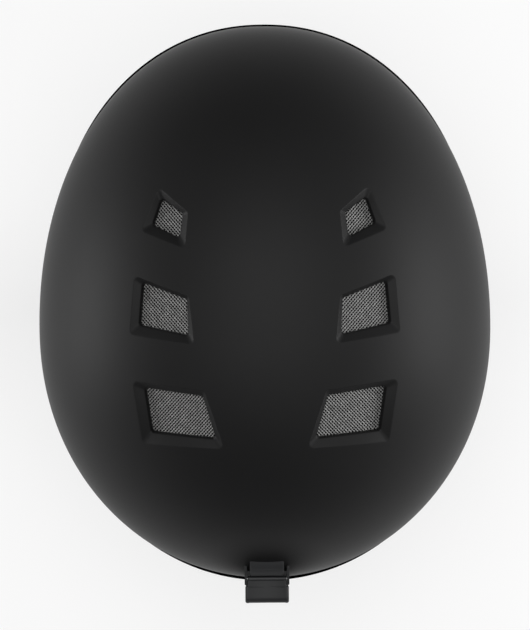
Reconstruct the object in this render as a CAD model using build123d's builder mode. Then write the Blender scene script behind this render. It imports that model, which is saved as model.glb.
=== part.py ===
from build123d import *
import os
from math import copysign, cos, radians, sin, tan

os.makedirs("parts", exist_ok=True)

# A ski helmet. Millimetres and degrees. The wearer looks along -Y, +X is their left and +Z is up.
# The origin is the middle of the head at the level of the head band.

# Shell: half of a superellipsoid on a plane that leans down towards the back, and a skirt below it.
shell_half_width = 112.5
shell_front_reach = 149.5
shell_rear_reach = 125.5
shell_rise = 105.0
shell_lean = 5.0
profile_power = 2.15
plan_power = 2.07
plan_power_change = 0.05
skirt_depth = 90.0
skirt_tuck = 0.12
skirt_flare = 0.05
shell_wall = 2.4
trim_bead = 2.0

# Rim: the lower edge in side view, as (y, z).
rim_points = [(-165, 15), (-95, 10), (-45, -14), (0, -22), (50, -30), (95, -36), (160, -30)]

# Vents: corners of each recess and of its opening, as (x, y) over the dome plane, on the left side.
vent_recesses = {
    "front": [(50.5, -75), (36, -63), (37.5, -45.5), (59, -53.5)],
    "middle": [(62.5, -33), (36, -23.5), (33.5, 0), (65, -4)],
    "rear": [(64, 17.5), (29, 21.5), (19.5, 50.5), (59.5, 49)],
}
vent_openings = {
    "front": [(48.9, -69.3), (38.7, -62), (40.2, -50.6), (53.2, -56.8)],
    "middle": [(58.2, -29.4), (37, -21.8), (36.3, -4.6), (60, -9)],
    "rear": [(57.8, 21), (29.8, 24.4), (23.8, 45.4), (54.8, 43)],
}
recess_depth = 2.3
collar_depth = 4.8
mesh_thickness = 0.6
vent_corner = 2.5

# Liner and pads, as depths under the shell's surface.
liner_outside = 2.6
liner_inside = 26.0
pad_outside = 27.2
pad_inside = 33.5

# Ear flaps hang under the rim and lean in towards the jaw. Their inner face is the ear plane.
ear_x = 93.0
ear_y = 12.0
ear_z = -26.0
ear_lean = 8.0
flap_thickness = 5.0
webbing_thickness = 1.2
webbing_gap = 0.3
side_strap_width = 15.0
cushion_thickness = 10.5

# Chin strap: it swings on two rivets and hangs as a U.
chin_strap_width = 18.0
chin_strap_thickness = 1.3
rivet_z = -100.0
rivet_radius = 2.0
running_fit = 0.05
divider_inner_x = 80.8
divider_thickness = 4.0
chin_strap_x = divider_inner_x - 0.3 - chin_strap_thickness / 2
strap_bend_z = -112.0
chin_half_span = 28.0
chin_z = -178.0
chin_radius = 24.0

# Fit system: two toothed bands on one circle around the head, drawn together by a dial at the nape.
fit_centre_y = 20.0
fit_centre_z = -22.0
fit_lean = 20.6
band_radius = 80.0
band_inner_radius = 78.8
band_thickness = 1.1
band_gap = 0.3
pinion_teeth = 10
pinion_pitch_radius = 5.0
tooth_half_height = 0.9
band_pitch = 360 * pinion_pitch_radius / pinion_teeth / band_radius

# Goggle clip at the back of the shell, as (y, z) in side view.
clip_half_width = 11.0
clip_rail = 1.2
clip_pin_y = 136.2
clip_pin_z = 52.5
clip_pin_radius = 1.0
flap_wall = 2.4
flap_half_width = 10.75
knuckle_half_width = 9.6
knuckle_radius = 1.8
flap_neck = 5.5
clip_back_y = 148.4
clip_hook_z = 1.2
screw_radius = 1.5
screw_head_radius = 2.8
screw_seat = 1.1

standing = (Align.CENTER, Align.CENTER, Align.MIN)
hanging = (Align.CENTER, Align.CENTER, Align.MAX)
lean_direction = (0, sin(radians(shell_lean)), cos(radians(shell_lean)))
dome_plane = Plane(origin=(0, 12, 20), x_dir=(1, 0, 0), z_dir=lean_direction)


def ring(inset, width_share, length_share):
    """Points of a level outline of the dome, so far inside the shell's surface."""
    points = []
    for step in range(24):
        angle = radians(15 * step)
        power = 2 / (plan_power - plan_power_change * sin(angle))
        reach = shell_rear_reach if sin(angle) > 0 else shell_front_reach
        across = copysign(abs(cos(angle)) ** power, cos(angle))
        along = copysign(abs(sin(angle)) ** power, sin(angle))
        x = (shell_half_width - inset) * width_share * across
        y = (reach - inset) * length_share * along
        points.append((x, y))
    return points


def dome(inset):
    """The solid inside the shell's surface, or inside a surface at a depth under it, with its skirt."""
    with BuildPart() as solid:
        for depth in (skirt_depth, 60, 35, 15):
            below = Plane(origin=(0, 12, 20 - depth), x_dir=(1, 0, 0), z_dir=lean_direction)
            tuck = 1 - skirt_tuck * (depth / 100) ** 2
            flare = 1 + skirt_flare * (depth / 100) ** 2
            with BuildSketch(below):
                with BuildLine():
                    Spline(*ring(inset, tuck, flare), periodic=True)
                make_face()
        for elevation in (0, 12, 24, 36, 48, 60, 70, 79, 86):
            share = cos(radians(elevation)) ** (2 / profile_power)
            height = (shell_rise - inset) * sin(radians(elevation)) ** (2 / profile_power)
            with BuildSketch(dome_plane.offset(height)):
                with BuildLine():
                    Spline(*ring(inset, share, share), periodic=True)
                make_face()
        loft()
    return solid.part


def dome_point(x, y, inset):
    """The point of the dome at a depth under the shell's surface, over a place of the dome plane."""
    angle_share = y / abs(complex(x, y))
    power = plan_power - plan_power_change * angle_share
    reach = shell_rear_reach if y > 0 else shell_front_reach
    across, along = abs(x / (shell_half_width - inset)), abs(y / (reach - inset))
    share = (across**power + along**power) ** (1 / power)
    height = (shell_rise - inset) * (1 - share**profile_power) ** (1 / profile_power)
    return dome_plane.from_local_coords(Vector(x, y, height))


def rear_plane(elevation, inset):
    """The plane that touches the dome on its centre line at the back, at an elevation."""
    share = cos(radians(elevation)) ** (2 / profile_power)
    rise = sin(radians(elevation)) ** (2 / profile_power)
    reach, height = shell_rear_reach - inset, shell_rise - inset
    touch = dome_plane.from_local_coords(Vector(0, reach * share, height * rise))
    out_y = share ** (profile_power - 1) / reach
    out_z = rise ** (profile_power - 1) / height
    lean = radians(shell_lean)
    normal = (0, out_y * cos(lean) + out_z * sin(lean), out_z * cos(lean) - out_y * sin(lean))
    return Plane(origin=touch, x_dir=(1, 0, 0), z_dir=normal)


def above_rim(shift):
    """All the space above the rim line, moved up by a shift."""
    with BuildPart() as space:
        with BuildSketch(Plane.YZ):
            line = [(y, z + shift) for y, z in rim_points]
            with BuildLine():
                Spline(*line)
                Polyline(line[-1], (line[-1][0], 200), (line[0][0], 200), line[0])
            make_face()
        extrude(amount=150, both=True)
    return space.part


def layer(outside, inside):
    """The space between two depths under the shell's surface."""
    outer, inner = dome(outside), dome(inside)
    with BuildPart() as space:
        add(outer)
        add(inner, mode=Mode.SUBTRACT)
    return space.part


def vent_plane(corners, depth):
    """The plane through the middle of four corners on the dome, facing out, and the corners on it."""
    points = [dome_point(x, y, depth) for x, y in corners]
    middle = (points[0] + points[1] + points[2] + points[3]) * 0.25
    across = points[2] - points[0]
    along = points[3] - points[1]
    normal = across.cross(along)
    if normal.Z < 0:
        normal = normal * -1
    plane = Plane(origin=middle, x_dir=across, z_dir=normal)
    flat = [plane.to_local_coords(point) for point in points]
    return plane, [(point.X, point.Y) for point in flat]


def vent_prism(corners, depth, grow, up, down):
    """A straight prism on the outline of a vent."""
    plane, outline = vent_plane(corners, depth)
    with BuildPart() as prism:
        with BuildSketch(plane.offset(-down)):
            Polygon(*outline, align=None)
            fillet(vertices(), radius=vent_corner)
            if grow:
                offset(amount=grow)
        extrude(amount=up + down)
    return prism.part


def vent_cutter(name):
    """The space that a vent takes from the shell: its sloping recess and the hole at its bottom."""
    top_plane, top_outline = vent_plane(vent_recesses[name], 0)
    low_plane, low_outline = vent_plane(vent_openings[name], recess_depth)
    room_above = vent_prism(vent_recesses[name], 0, 0, 8, 0.01)
    hole_below = vent_prism(vent_openings[name], recess_depth, 0, 0.01, 12)
    with BuildPart() as cutter:
        with BuildSketch(top_plane):
            Polygon(*top_outline, align=None)
            fillet(vertices(), radius=vent_corner)
        with BuildSketch(low_plane):
            Polygon(*low_outline, align=None)
            fillet(vertices(), radius=vent_corner)
        loft()
        add(room_above)
        add(hole_below)
    return cutter.part


def block(low, high):
    """A plain block between two opposite corners."""
    size = [b - a for a, b in zip(low, high)]
    with BuildPart() as solid:
        with Locations(tuple((a + b) / 2 for a, b in zip(low, high))):
            Box(*size)
    return solid.part


def write(name, piece):
    piece.part.label = name
    export_step(piece.part, f"parts/{name}.step")


def write_pair(name, piece):
    """Writes the left piece and its mirror image, the right one."""
    write(f"{name}_left", piece)
    image = mirror(piece.part, about=Plane.YZ, mode=Mode.PRIVATE)
    with BuildPart() as right:
        add(image)
    write(f"{name}_right", right)


fit_centre = Vector(0, fit_centre_y, fit_centre_z)
fit_axis = Vector(0, sin(radians(fit_lean)), cos(radians(fit_lean)))
fit_back = Vector(0, cos(radians(fit_lean)), -sin(radians(fit_lean)))


def around(angle):
    """Outward and sideways directions on the fit circle, at an angle from the back towards the left."""
    outward = Vector(1, 0, 0) * sin(radians(angle)) + fit_back * cos(radians(angle))
    sideways = Vector(1, 0, 0) * cos(radians(angle)) - fit_back * sin(radians(angle))
    return outward, sideways


def arc_piece(start, end, inner, outer, low, high):
    """A curved bar on the fit circle, between two angles, radii and heights."""
    outward, sideways = around(start)
    with BuildPart() as piece:
        with BuildSketch(Plane(origin=fit_centre, x_dir=outward, z_dir=sideways)):
            with Locations(((inner + outer) / 2, (low + high) / 2)):
                Rectangle(outer - inner, high - low)
        revolve(axis=Axis(fit_centre, fit_axis * -1), revolution_arc=end - start)
    return piece.part


def dial_plane(distance, angle=0):
    """The plane across the dial's axis, or a guide's, so far out from the middle of the fit circle."""
    outward, sideways = around(angle)
    return Plane(origin=fit_centre + outward * distance, x_dir=sideways * -1, z_dir=outward)


def disc(distance, end, radius, angle=0):
    """A round bar along the dial's axis, or a guide's, between two distances."""
    with BuildPart() as bar:
        with BuildSketch(dial_plane(distance, angle)):
            Circle(radius)
        extrude(amount=end - distance)
    return bar.part


# Shell, edge trim, vent meshes and liner.

wall = layer(0, shell_wall)
over_rim = above_rim(0)
collar_layer = layer(recess_depth, collar_depth)
mesh_layer = layer(collar_depth + 0.1, collar_depth + 0.1 + mesh_thickness)
pocket_layer = layer(liner_outside - 0.1, collar_depth + 0.3 + mesh_thickness)
foam_layer = layer(liner_outside, liner_inside)
groove_core = dome(liner_inside - 6)
collar_prisms = [vent_prism(corners, 0, 2, 8, 14) for corners in vent_recesses.values()]
pocket_prisms = [vent_prism(corners, 0, 2.6, 8, 14) for corners in vent_recesses.values()]
duct_prisms = [vent_prism(corners, recess_depth, -3, 8, 60) for corners in vent_openings.values()]
cutters = [vent_cutter(name) for name in vent_recesses]
clip_screw_planes = [rear_plane(3, 0), rear_plane(16, 0)]
peg_y, peg_z, peg_radius = 109.0, 4.0, 3.0
with BuildPart() as peg:
    with BuildSketch(Plane.XZ.offset(-peg_y)):
        with Locations((0, peg_z)):
            Circle(peg_radius)
    extrude(amount=-9)
cradle_peg = peg.part
guide_start, guide_end = 92, 101
guide_peg = disc(83.2, 92, 2.5, (guide_start + guide_end) / 2)
nut_plate_block = block((-9, 100, 8), (9, 150, 50))
nut_pocket_block = block((-9.4, 100, 7.6), (9.4, 150, 50.4))
nut_layer = layer(liner_outside, liner_outside + 2)
nut_pocket_layer = layer(liner_outside - 0.1, liner_outside + 2.2)

with BuildPart() as collars:
    add(collar_prisms)
    mirror(about=Plane.YZ)
    add(collar_layer, mode=Mode.INTERSECT)

with BuildPart() as outer_shell:
    add(wall)
    add(over_rim, mode=Mode.INTERSECT)
    add(collars.part)
    add(cutters, mode=Mode.SUBTRACT)
    add([mirror(cutter, about=Plane.YZ, mode=Mode.PRIVATE) for cutter in cutters], mode=Mode.SUBTRACT)
    for plane in clip_screw_planes:
        with Locations(plane):
            Cylinder(radius=1.6, height=24, mode=Mode.SUBTRACT)
write("outer_shell", outer_shell)

lip_layer = layer(-trim_bead, -0.03)
sole_layer = layer(-trim_bead, 9)
under_lip = above_rim(4.5)
over_trim = above_rim(-1.3)
over_sole = above_rim(-0.05)
with BuildPart() as sole:
    add(sole_layer)
    add(over_trim, mode=Mode.INTERSECT)
    add(over_sole, mode=Mode.SUBTRACT)
with BuildPart() as shell_edge_trim:
    add(lip_layer)
    add(over_trim, mode=Mode.INTERSECT)
    add(under_lip, mode=Mode.SUBTRACT)
    add(sole.part)
write("shell_edge_trim", shell_edge_trim)

for name, corners in vent_recesses.items():
    window = vent_prism(corners, 0, 1, 8, 14)
    with BuildPart() as vent_mesh:
        add(mesh_layer)
        add(window, mode=Mode.INTERSECT)
    write_pair(f"vent_mesh_{name}", vent_mesh)

ear_plane = Plane(
    origin=(ear_x, ear_y, ear_z),
    x_dir=(0, 1, 0),
    z_dir=(cos(radians(ear_lean)), 0, -sin(radians(ear_lean))),
)


def on_ear(y, z):
    """A place of the ear plane, from its y and z in space."""
    return (y - ear_y, (z - ear_z) / cos(radians(ear_lean)))


def ear_at(z):
    """The x of the ear plane at a height."""
    return ear_x + (z - ear_z) * tan(radians(ear_lean))


# The side straps run from anchors in the liner, between flap and cushion, down to the divider.
strap_tops = {"front": (-34, -2), "rear": (58, -12)}
strap_feet = {"front": (-4, -92), "rear": (4, -92)}
strap_starts = {"front": -webbing_gap, "rear": -2 * webbing_gap - webbing_thickness}
divider_top_z = -91.6

anchors, strap_slots, side_straps = [], [], {}
for end in ("front", "rear"):
    top, foot, start = on_ear(*strap_tops[end]), on_ear(*strap_feet[end]), strap_starts[end]
    run = Vector(foot[0] - top[0], foot[1] - top[1])
    turn = run.get_signed_angle(Vector(1, 0), Vector(0, 0, -1))
    centre = ((top[0] + foot[0]) / 2, (top[1] + foot[1]) / 2)
    with BuildPart() as side_strap:
        with BuildSketch(ear_plane.offset(start)):
            with Locations(centre):
                Rectangle(run.length + 10, side_strap_width, rotation=turn)
        extrude(amount=-webbing_thickness)
        split(bisect_by=Plane.XY.offset(divider_top_z), keep=Keep.TOP)
        split(bisect_by=Plane.XY.offset(strap_tops[end][1]), keep=Keep.BOTTOM)
    side_straps[end] = side_strap
    with BuildPart() as slot:
        with BuildSketch(ear_plane.offset(start + webbing_gap)):
            with Locations(centre):
                Rectangle(run.length + 10, side_strap_width + 1, rotation=turn)
        extrude(amount=-webbing_thickness - 2 * webbing_gap)
        split(bisect_by=Plane.XY.offset(strap_tops[end][1]), keep=Keep.BOTTOM)
    strap_slots.append(slot.part)
    top_y, top_z = strap_tops[end]
    with BuildPart() as anchor:
        with Locations((ear_at(top_z) + start - webbing_thickness / 2, top_y, top_z + 2)):
            Box(7, 21, 4)
        fillet(anchor.edges().filter_by(Axis.Z), radius=1.5)
    anchors.append(anchor.part)
    write_pair(f"{end}_strap", side_strap)

with BuildPart() as strap_anchors:
    add(anchors)
    mirror(about=Plane.YZ)
write("strap_anchors", strap_anchors)

# Studs hold the top edge of each ear flap to the liner.
stud_places = [(-24, -19), (10, -24), (44, -30)]
stud_radius = 1.5
studs = []
for y, z in stud_places:
    with BuildPart() as stud:
        with Locations((ear_at(z) + flap_thickness / 2, y, z)):
            Cylinder(radius=stud_radius, height=18)
    studs.append(stud.part)

with BuildPart() as ear_flap_studs:
    add(studs)
    mirror(about=Plane.YZ)
write("ear_flap_studs", ear_flap_studs)

# A strip inside each side of the liner joins the vents.
liner_floor = above_rim(0.25)
groove_strips = [block((x, -85, 40), (x + 14, 80, 140)) for x in (40, -54)]
with BuildPart() as grooves:
    add(groove_strips)
    add(groove_core, mode=Mode.INTERSECT)
with BuildPart() as mesh_pockets:
    add(pocket_prisms)
    mirror(about=Plane.YZ)
    add(pocket_layer, mode=Mode.INTERSECT)
with BuildPart() as nut_pocket:
    add(nut_pocket_layer)
    add(nut_pocket_block, mode=Mode.INTERSECT)
with BuildPart() as side_holes:
    add(duct_prisms)
    add(anchors)
    add(strap_slots)
    add(studs)
    add(guide_peg)
    mirror(about=Plane.YZ)

with BuildPart() as eps_liner:
    add(foam_layer)
    add(liner_floor, mode=Mode.INTERSECT)
    add(grooves.part, mode=Mode.SUBTRACT)
    add(mesh_pockets.part, mode=Mode.SUBTRACT)
    add(nut_pocket.part, mode=Mode.SUBTRACT)
    add(side_holes.part, mode=Mode.SUBTRACT)
    add(cradle_peg, mode=Mode.SUBTRACT)
    for plane in clip_screw_planes:
        with Locations(plane):
            Cylinder(radius=2.2, height=18, mode=Mode.SUBTRACT)
write("eps_liner", eps_liner)

# Comfort pads, held to the liner by hook-and-loop tabs.
pad_layer = layer(pad_outside, pad_inside)
tab_layer = layer(liner_inside + 0.05, pad_outside - 0.05)

with BuildPart() as brow_pad:
    with BuildSketch(Plane.XZ.offset(45)):
        with Locations((0, 31)):
            RectangleRounded(128, 30, 12)
    extrude(amount=120)
    add(pad_layer, mode=Mode.INTERSECT)
write("brow_pad", brow_pad)

with BuildPart() as nape_pad:
    with BuildSketch(Plane.XZ.offset(-45)):
        with Locations((0, 34)):
            RectangleRounded(84, 34, 12)
    extrude(amount=-90)
    add(pad_layer, mode=Mode.INTERSECT)
write("nape_pad", nape_pad)

with BuildPart() as crown_pad:
    with BuildSketch(Plane.XY.offset(55)):
        with Locations((0, 8)):
            RectangleRounded(30, 118, 12)
            RectangleRounded(64, 30, 12)
    extrude(amount=70)
    add(pad_layer, mode=Mode.INTERSECT)
write("crown_pad", crown_pad)

with BuildPart() as side_pad:
    with BuildSketch(Plane.YZ.offset(30)):
        with Locations((6, 31)):
            RectangleRounded(84, 34, 12)
    extrude(amount=80)
    add(pad_layer, mode=Mode.INTERSECT)
write_pair("side_pad", side_pad)

tab_bars = [
    (Plane.YZ.offset(30), [(-22, 32), (34, 32)], 80),
    (Plane.XZ.offset(45), [(26, 31)], 120),
    (Plane.XZ.offset(-45), [(24, 34)], -90),
    (Plane.XY.offset(55), [(20, 8)], 70),
]
with BuildPart() as pad_hook_tabs:
    for plane, places, reach in tab_bars:
        with BuildSketch(plane):
            with Locations(places):
                Circle(8)
        extrude(amount=reach)
    mirror(about=Plane.YZ)
    add(tab_layer, mode=Mode.INTERSECT)
write("pad_hook_tabs", pad_hook_tabs)

# Ear flaps, their inner cushions and the V of side straps with its divider.
under_rim = above_rim(-1.9)
with BuildPart() as ear_flap:
    with BuildSketch(ear_plane):
        with BuildLine():
            corners = [on_ear(y, z) for y, z in ((-40, -2), (-30, -89.5), (42, -89.5), (62, -2))]
            FilletPolyline(*corners, radius=24)
            Line(corners[-1], corners[0])
        make_face()
    extrude(amount=flap_thickness)
    add(under_rim, mode=Mode.SUBTRACT)
    fillet(ear_flap.faces().sort_by(Axis.X)[0].edges().sort_by(Axis.Z)[0], radius=1)
    add(studs, mode=Mode.SUBTRACT)
write_pair("ear_flap", ear_flap)

with BuildPart() as ear_cushion:
    with BuildSketch(ear_plane.offset(-3 * webbing_gap - 2 * webbing_thickness)):
        Polygon(
            *[on_ear(y, z) for y, z in ((-32, -30), (-24, -86), (34, -86), (50, -45), (14, -34))],
            align=None,
        )
        fillet(vertices(), radius=10)
    extrude(amount=-cushion_thickness)
    fillet(ear_cushion.faces().sort_by(Axis.X)[0].edges(), radius=3)
write_pair("ear_cushion", ear_cushion)

with BuildPart() as strap_divider:
    with BuildSketch(Plane.YZ.offset(divider_inner_x)):
        Polygon((-13, -91.6), (13, -91.6), (9, -107), (-9, -107), align=None)
        fillet(vertices(), radius=1.5)
    extrude(amount=divider_thickness)
    with Locations(Plane(origin=(divider_inner_x, 0, rivet_z), z_dir=(1, 0, 0))):
        Cylinder(radius=rivet_radius, height=3 * divider_thickness, mode=Mode.SUBTRACT)
write_pair("strap_divider", strap_divider)

strap_inner_x = chin_strap_x - chin_strap_thickness / 2
divider_outer_x = divider_inner_x + divider_thickness
with BuildPart() as strap_rivet:
    for start, end, radius in (
        (strap_inner_x - 1.5, strap_inner_x - 0.3, 4),
        (strap_inner_x - 0.3, divider_outer_x, rivet_radius),
        (divider_outer_x, divider_outer_x + 1, 4.5),
    ):
        with BuildSketch(Plane.YZ.offset(start)):
            with Locations((0, rivet_z)):
                Circle(radius)
        extrude(amount=end - start)
write_pair("strap_rivet", strap_rivet)

# The chin strap hangs from the rivets as a U and is parted at the buckle on the left.
strap_corner = (chin_strap_x, strap_bend_z)
chin_corner = (chin_half_span, chin_z)
strap_run = Vector(chin_corner[0] - strap_corner[0], chin_corner[1] - strap_corner[1])
run_unit = strap_run.normalized()
buckle_start = 20.0
buckle_length = 34.0
buckle_width = 25.0
buckle_height = 10.0
buckle_wall = 1.6
tongue_length = 14.0


def on_run(distance):
    """A place on the straight stretch of the strap on the left, as (x, z)."""
    return (strap_corner[0] + run_unit.X * distance, strap_corner[1] + run_unit.Y * distance)


buckle_place = on_run(buckle_start)
buckle_plane = Plane(
    origin=(buckle_place[0], 0, buckle_place[1]),
    x_dir=(run_unit.X, 0, run_unit.Y),
    z_dir=(-run_unit.Y, 0, run_unit.X),
)


def buckle_section(distance):
    """The plane across the buckle, so far along it."""
    start = buckle_plane.from_local_coords((distance, 0, 0))
    return Plane(origin=start, x_dir=(0, 1, 0), z_dir=buckle_plane.x_dir)


def strap_along(points, radii, width, thickness):
    """Flat webbing along a path in the plane y = 0, given as (x, z)."""
    with BuildPart() as webbing:
        with BuildLine() as path:
            FilletPolyline(*[(x, 0, z) for x, z in points], radius=radii)
        begin = path.line @ 0
        with BuildSketch(Plane(origin=begin, x_dir=(0, 1, 0), z_dir=path.line % 0)):
            Rectangle(width, thickness)
        sweep()
    return webbing.part


def strap_end(side):
    """The rounded end of the strap around its rivet."""
    with BuildPart() as end:
        with BuildSketch(Plane.YZ.offset(side * chin_strap_x - chin_strap_thickness / 2)):
            with Locations((0, rivet_z)):
                Circle(chin_strap_width / 2)
        extrude(amount=chin_strap_thickness)
    return end.part


with BuildPart() as rivet_holes:
    with BuildSketch(Plane.YZ):
        with Locations((0, rivet_z)):
            Circle(rivet_radius + running_fit)
    extrude(amount=100, both=True)

left_run = strap_along(
    [(chin_strap_x, rivet_z), strap_corner, on_run(buckle_start + 7)],
    [7],
    chin_strap_width,
    chin_strap_thickness,
)
left_end = strap_end(1)
with BuildPart() as chin_strap_left:
    add(left_run)
    add(left_end)
    add(rivet_holes.part, mode=Mode.SUBTRACT)
write("chin_strap_left", chin_strap_left)

# Buckle: a flat box, open at both ends, with windows where the tongue's arms are pressed.
inner_width = buckle_width - 2 * buckle_wall
inner_height = buckle_height - 2 * buckle_wall
strap_room = 8.0
window_length = 13.0
window_middle = strap_room + 5 + window_length / 2
with BuildPart() as buckle_housing:
    with BuildSketch(buckle_section(0)):
        RectangleRounded(buckle_width, buckle_height, 3)
    extrude(amount=buckle_length)
    with BuildSketch(buckle_section(0)):
        Rectangle(chin_strap_width + 0.4, chin_strap_thickness + 0.2)
    extrude(amount=strap_room, mode=Mode.SUBTRACT)
    with BuildSketch(buckle_section(strap_room)):
        Rectangle(inner_width, inner_height)
    extrude(amount=buckle_length, mode=Mode.SUBTRACT)
    with BuildSketch(Plane(origin=buckle_plane.origin, x_dir=buckle_plane.x_dir, z_dir=(0, 1, 0))):
        with Locations((window_middle, 0)):
            SlotOverall(window_length, inner_height - 2)
    extrude(amount=buckle_width, both=True, mode=Mode.SUBTRACT)
write("buckle_housing", buckle_housing)

arm_gap = 0.35
arm_reach = 22.0
arm_width = 4.5
arm_height = inner_height - 2 * arm_gap
arm_centre = inner_width / 2 - arm_gap - arm_width / 2
tongue_start = buckle_length + arm_gap
bar_width = 3.5
slot_length = tongue_length - 2 * bar_width
with BuildPart() as buckle_tongue:
    with BuildSketch(buckle_plane.offset(-arm_height / 2)):
        with Locations((tongue_start + tongue_length / 2, 0)):
            RectangleRounded(tongue_length, buckle_width, 2.5)
            Rectangle(slot_length, chin_strap_width + 1, mode=Mode.SUBTRACT)
        with Locations(*[(tongue_start + 1.5 - arm_reach / 2, side * arm_centre) for side in (-1, 1)]):
            RectangleRounded(arm_reach + 3, arm_width, 2)
        with Locations((tongue_start - 7, 0)):
            Rectangle(14.5, 5)
    extrude(amount=arm_height)
    with BuildSketch(buckle_section(tongue_start + tongue_length - bar_width - 1)):
        Rectangle(chin_strap_width + 0.6, chin_strap_thickness + 0.6)
    extrude(amount=bar_width + 2, mode=Mode.SUBTRACT)
write("buckle_tongue", buckle_tongue)

# The long strap starts at the tongue's bar, rounds the chin and ends at the right rivet.
tongue_bar = buckle_start + tongue_start + bar_width + 0.3
right_run = strap_along(
    [
        on_run(tongue_bar),
        chin_corner,
        (-chin_half_span, chin_z),
        (-chin_strap_x, strap_bend_z),
        (-chin_strap_x, rivet_z),
    ],
    [chin_radius, chin_radius, 7],
    chin_strap_width,
    chin_strap_thickness,
)
right_end = strap_end(-1)
with BuildPart() as chin_strap_right:
    add(right_run)
    add(right_end)
    add(rivet_holes.part, mode=Mode.SUBTRACT)
write("chin_strap_right", chin_strap_right)

keeper_plane = Plane(
    origin=(-chin_half_span - 24, 0, chin_z + 24 * run_unit.Y / run_unit.X),
    x_dir=(0, 1, 0),
    z_dir=(-run_unit.X, 0, run_unit.Y),
)
with BuildPart() as strap_keeper:
    with BuildSketch(keeper_plane):
        RectangleRounded(chin_strap_width + 4, chin_strap_thickness + 3.4, 1.5)
        Rectangle(chin_strap_width + 0.2, chin_strap_thickness + 0.2, mode=Mode.SUBTRACT)
    extrude(amount=4, both=True)
write("strap_keeper", strap_keeper)

pad_share = 12.5
pad_path = [
    (chin_half_span - pad_share * run_unit.X, chin_z - pad_share * run_unit.Y),
    chin_corner,
    (-chin_half_span, chin_z),
    (-chin_half_span + pad_share * run_unit.X, chin_z - pad_share * run_unit.Y),
]
pad_radii = [chin_radius, chin_radius]
pad_body = strap_along(pad_path, pad_radii, chin_strap_width + 8, 7)
pad_hole = strap_along(pad_path, pad_radii, chin_strap_width + 0.4, chin_strap_thickness + 0.4)
with BuildPart() as chin_pad:
    add(pad_body)
    add(pad_hole, mode=Mode.SUBTRACT)
write("chin_pad", chin_pad)

# Fit system. Each band has a slot with teeth on one edge, and the dial's pinion turns in both slots.
slot_half = 6.2
band_rear_half = 9.2
band_half = 5.0
slot_start, slot_end = -6.0, 18.5
teeth = range(int(slot_start // band_pitch) + 1, int(slot_end // band_pitch))


def fit_band(side, inner, outer):
    """A band: the left one has its teeth on the upper edge of its slot, the right one on the lower."""
    wide = arc_piece(-9, 26, inner, outer, -band_rear_half, band_rear_half)
    narrow = arc_piece(25, 114, inner, outer, -band_half, band_half)
    slot = arc_piece(slot_start, slot_end, inner - 1, outer + 1, -slot_half, slot_half)
    with BuildPart() as band:
        add(wide)
        add(narrow)
        add(slot, mode=Mode.SUBTRACT)
        for tooth in teeth:
            with BuildSketch(dial_plane(inner, (tooth + 0.5) * band_pitch)):
                Polygon(
                    (-0.95, side * (slot_half + 0.1)),
                    (0.95, side * (slot_half + 0.1)),
                    (0.33, side * (pinion_pitch_radius - tooth_half_height)),
                    (-0.33, side * (pinion_pitch_radius - tooth_half_height)),
                    align=None,
                )
            extrude(amount=outer - inner)
    if side == 1:
        return band.part
    return mirror(band.part, about=Plane.YZ, mode=Mode.PRIVATE)


right_band_radius = band_inner_radius + band_thickness + band_gap
left_band = fit_band(1, band_inner_radius, band_inner_radius + band_thickness)
right_band = fit_band(-1, right_band_radius, right_band_radius + band_thickness)
with BuildPart() as fit_band_left:
    add(left_band)
write("fit_band_left", fit_band_left)
with BuildPart() as fit_band_right:
    add(right_band)
write("fit_band_right", fit_band_right)

guide_block = arc_piece(guide_start, guide_end, 77.2, 84, -7.6, 7.6)
guide_slot = arc_piece(guide_start - 1, guide_end + 1, 78.4, 81.7, -5.5, 5.5)
with BuildPart() as band_guide:
    add(guide_block)
    add(guide_peg)
    add(guide_slot, mode=Mode.SUBTRACT)
write_pair("band_guide", band_guide)

cradle_arc = 17
cradle_half = 11.2
cradle_wall = arc_piece(-cradle_arc, cradle_arc, 76.6, 78.4, -cradle_half, cradle_half)
cradle_sills = [
    arc_piece(-cradle_arc, cradle_arc, 78.3, 81.6, low, low + 1.6)
    for low in (-cradle_half, cradle_half - 1.6)
]
pivot_radius = 2.5
pivot_hole = disc(70, 79, pivot_radius + running_fit)
shaft_hole = disc(81, 90, 3 + running_fit)
with BuildPart() as fit_cradle:
    add(cradle_wall)
    add(cradle_sills)
    with BuildSketch(Plane.YZ):
        with BuildLine():
            Polyline((109.6, 13), (109.6, -22), (98.4, -40.3))
        trace(line_width=1.8)
    extrude(amount=11, both=True)
    add(cradle_peg)
    add(pivot_hole, mode=Mode.SUBTRACT)
write("fit_cradle", fit_cradle)

cover_plate = arc_piece(-cradle_arc, cradle_arc, 81.65, 83.3, -cradle_half, cradle_half)
with BuildPart() as dial_cover:
    add(cover_plate)
    add(shaft_hole, mode=Mode.SUBTRACT)
write("dial_cover", dial_cover)

with BuildPart() as dial_detent_ring:
    with BuildSketch(dial_plane(83.35)):
        Circle(9)
        Circle(4.5, mode=Mode.SUBTRACT)
    extrude(amount=0.9)
write("dial_detent_ring", dial_detent_ring)

screw_bar = disc(78.2, 90, 1.2)
screw_head = disc(76.9, 78.2, 2.0)
pivot_bar = disc(76.8, 78.75, pivot_radius)
shaft_bar = disc(81.1, 84.6, 3)
with BuildPart() as dial_pinion:
    add(pivot_bar)
    add(shaft_bar)
    with BuildSketch(dial_plane(78.7)):
        Circle(3.9)
        with PolarLocations(0, pinion_teeth, start_angle=90):
            Polygon((3.6, -0.95), (5.85, -0.33), (5.85, 0.33), (3.6, 0.95), align=None)
    extrude(amount=2.42)
    add(screw_bar, mode=Mode.SUBTRACT)
    add(screw_head, mode=Mode.SUBTRACT)
write("dial_pinion", dial_pinion)

with BuildPart() as dial_screw:
    add(screw_bar)
    add(screw_head)
write("dial_screw", dial_screw)

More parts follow.
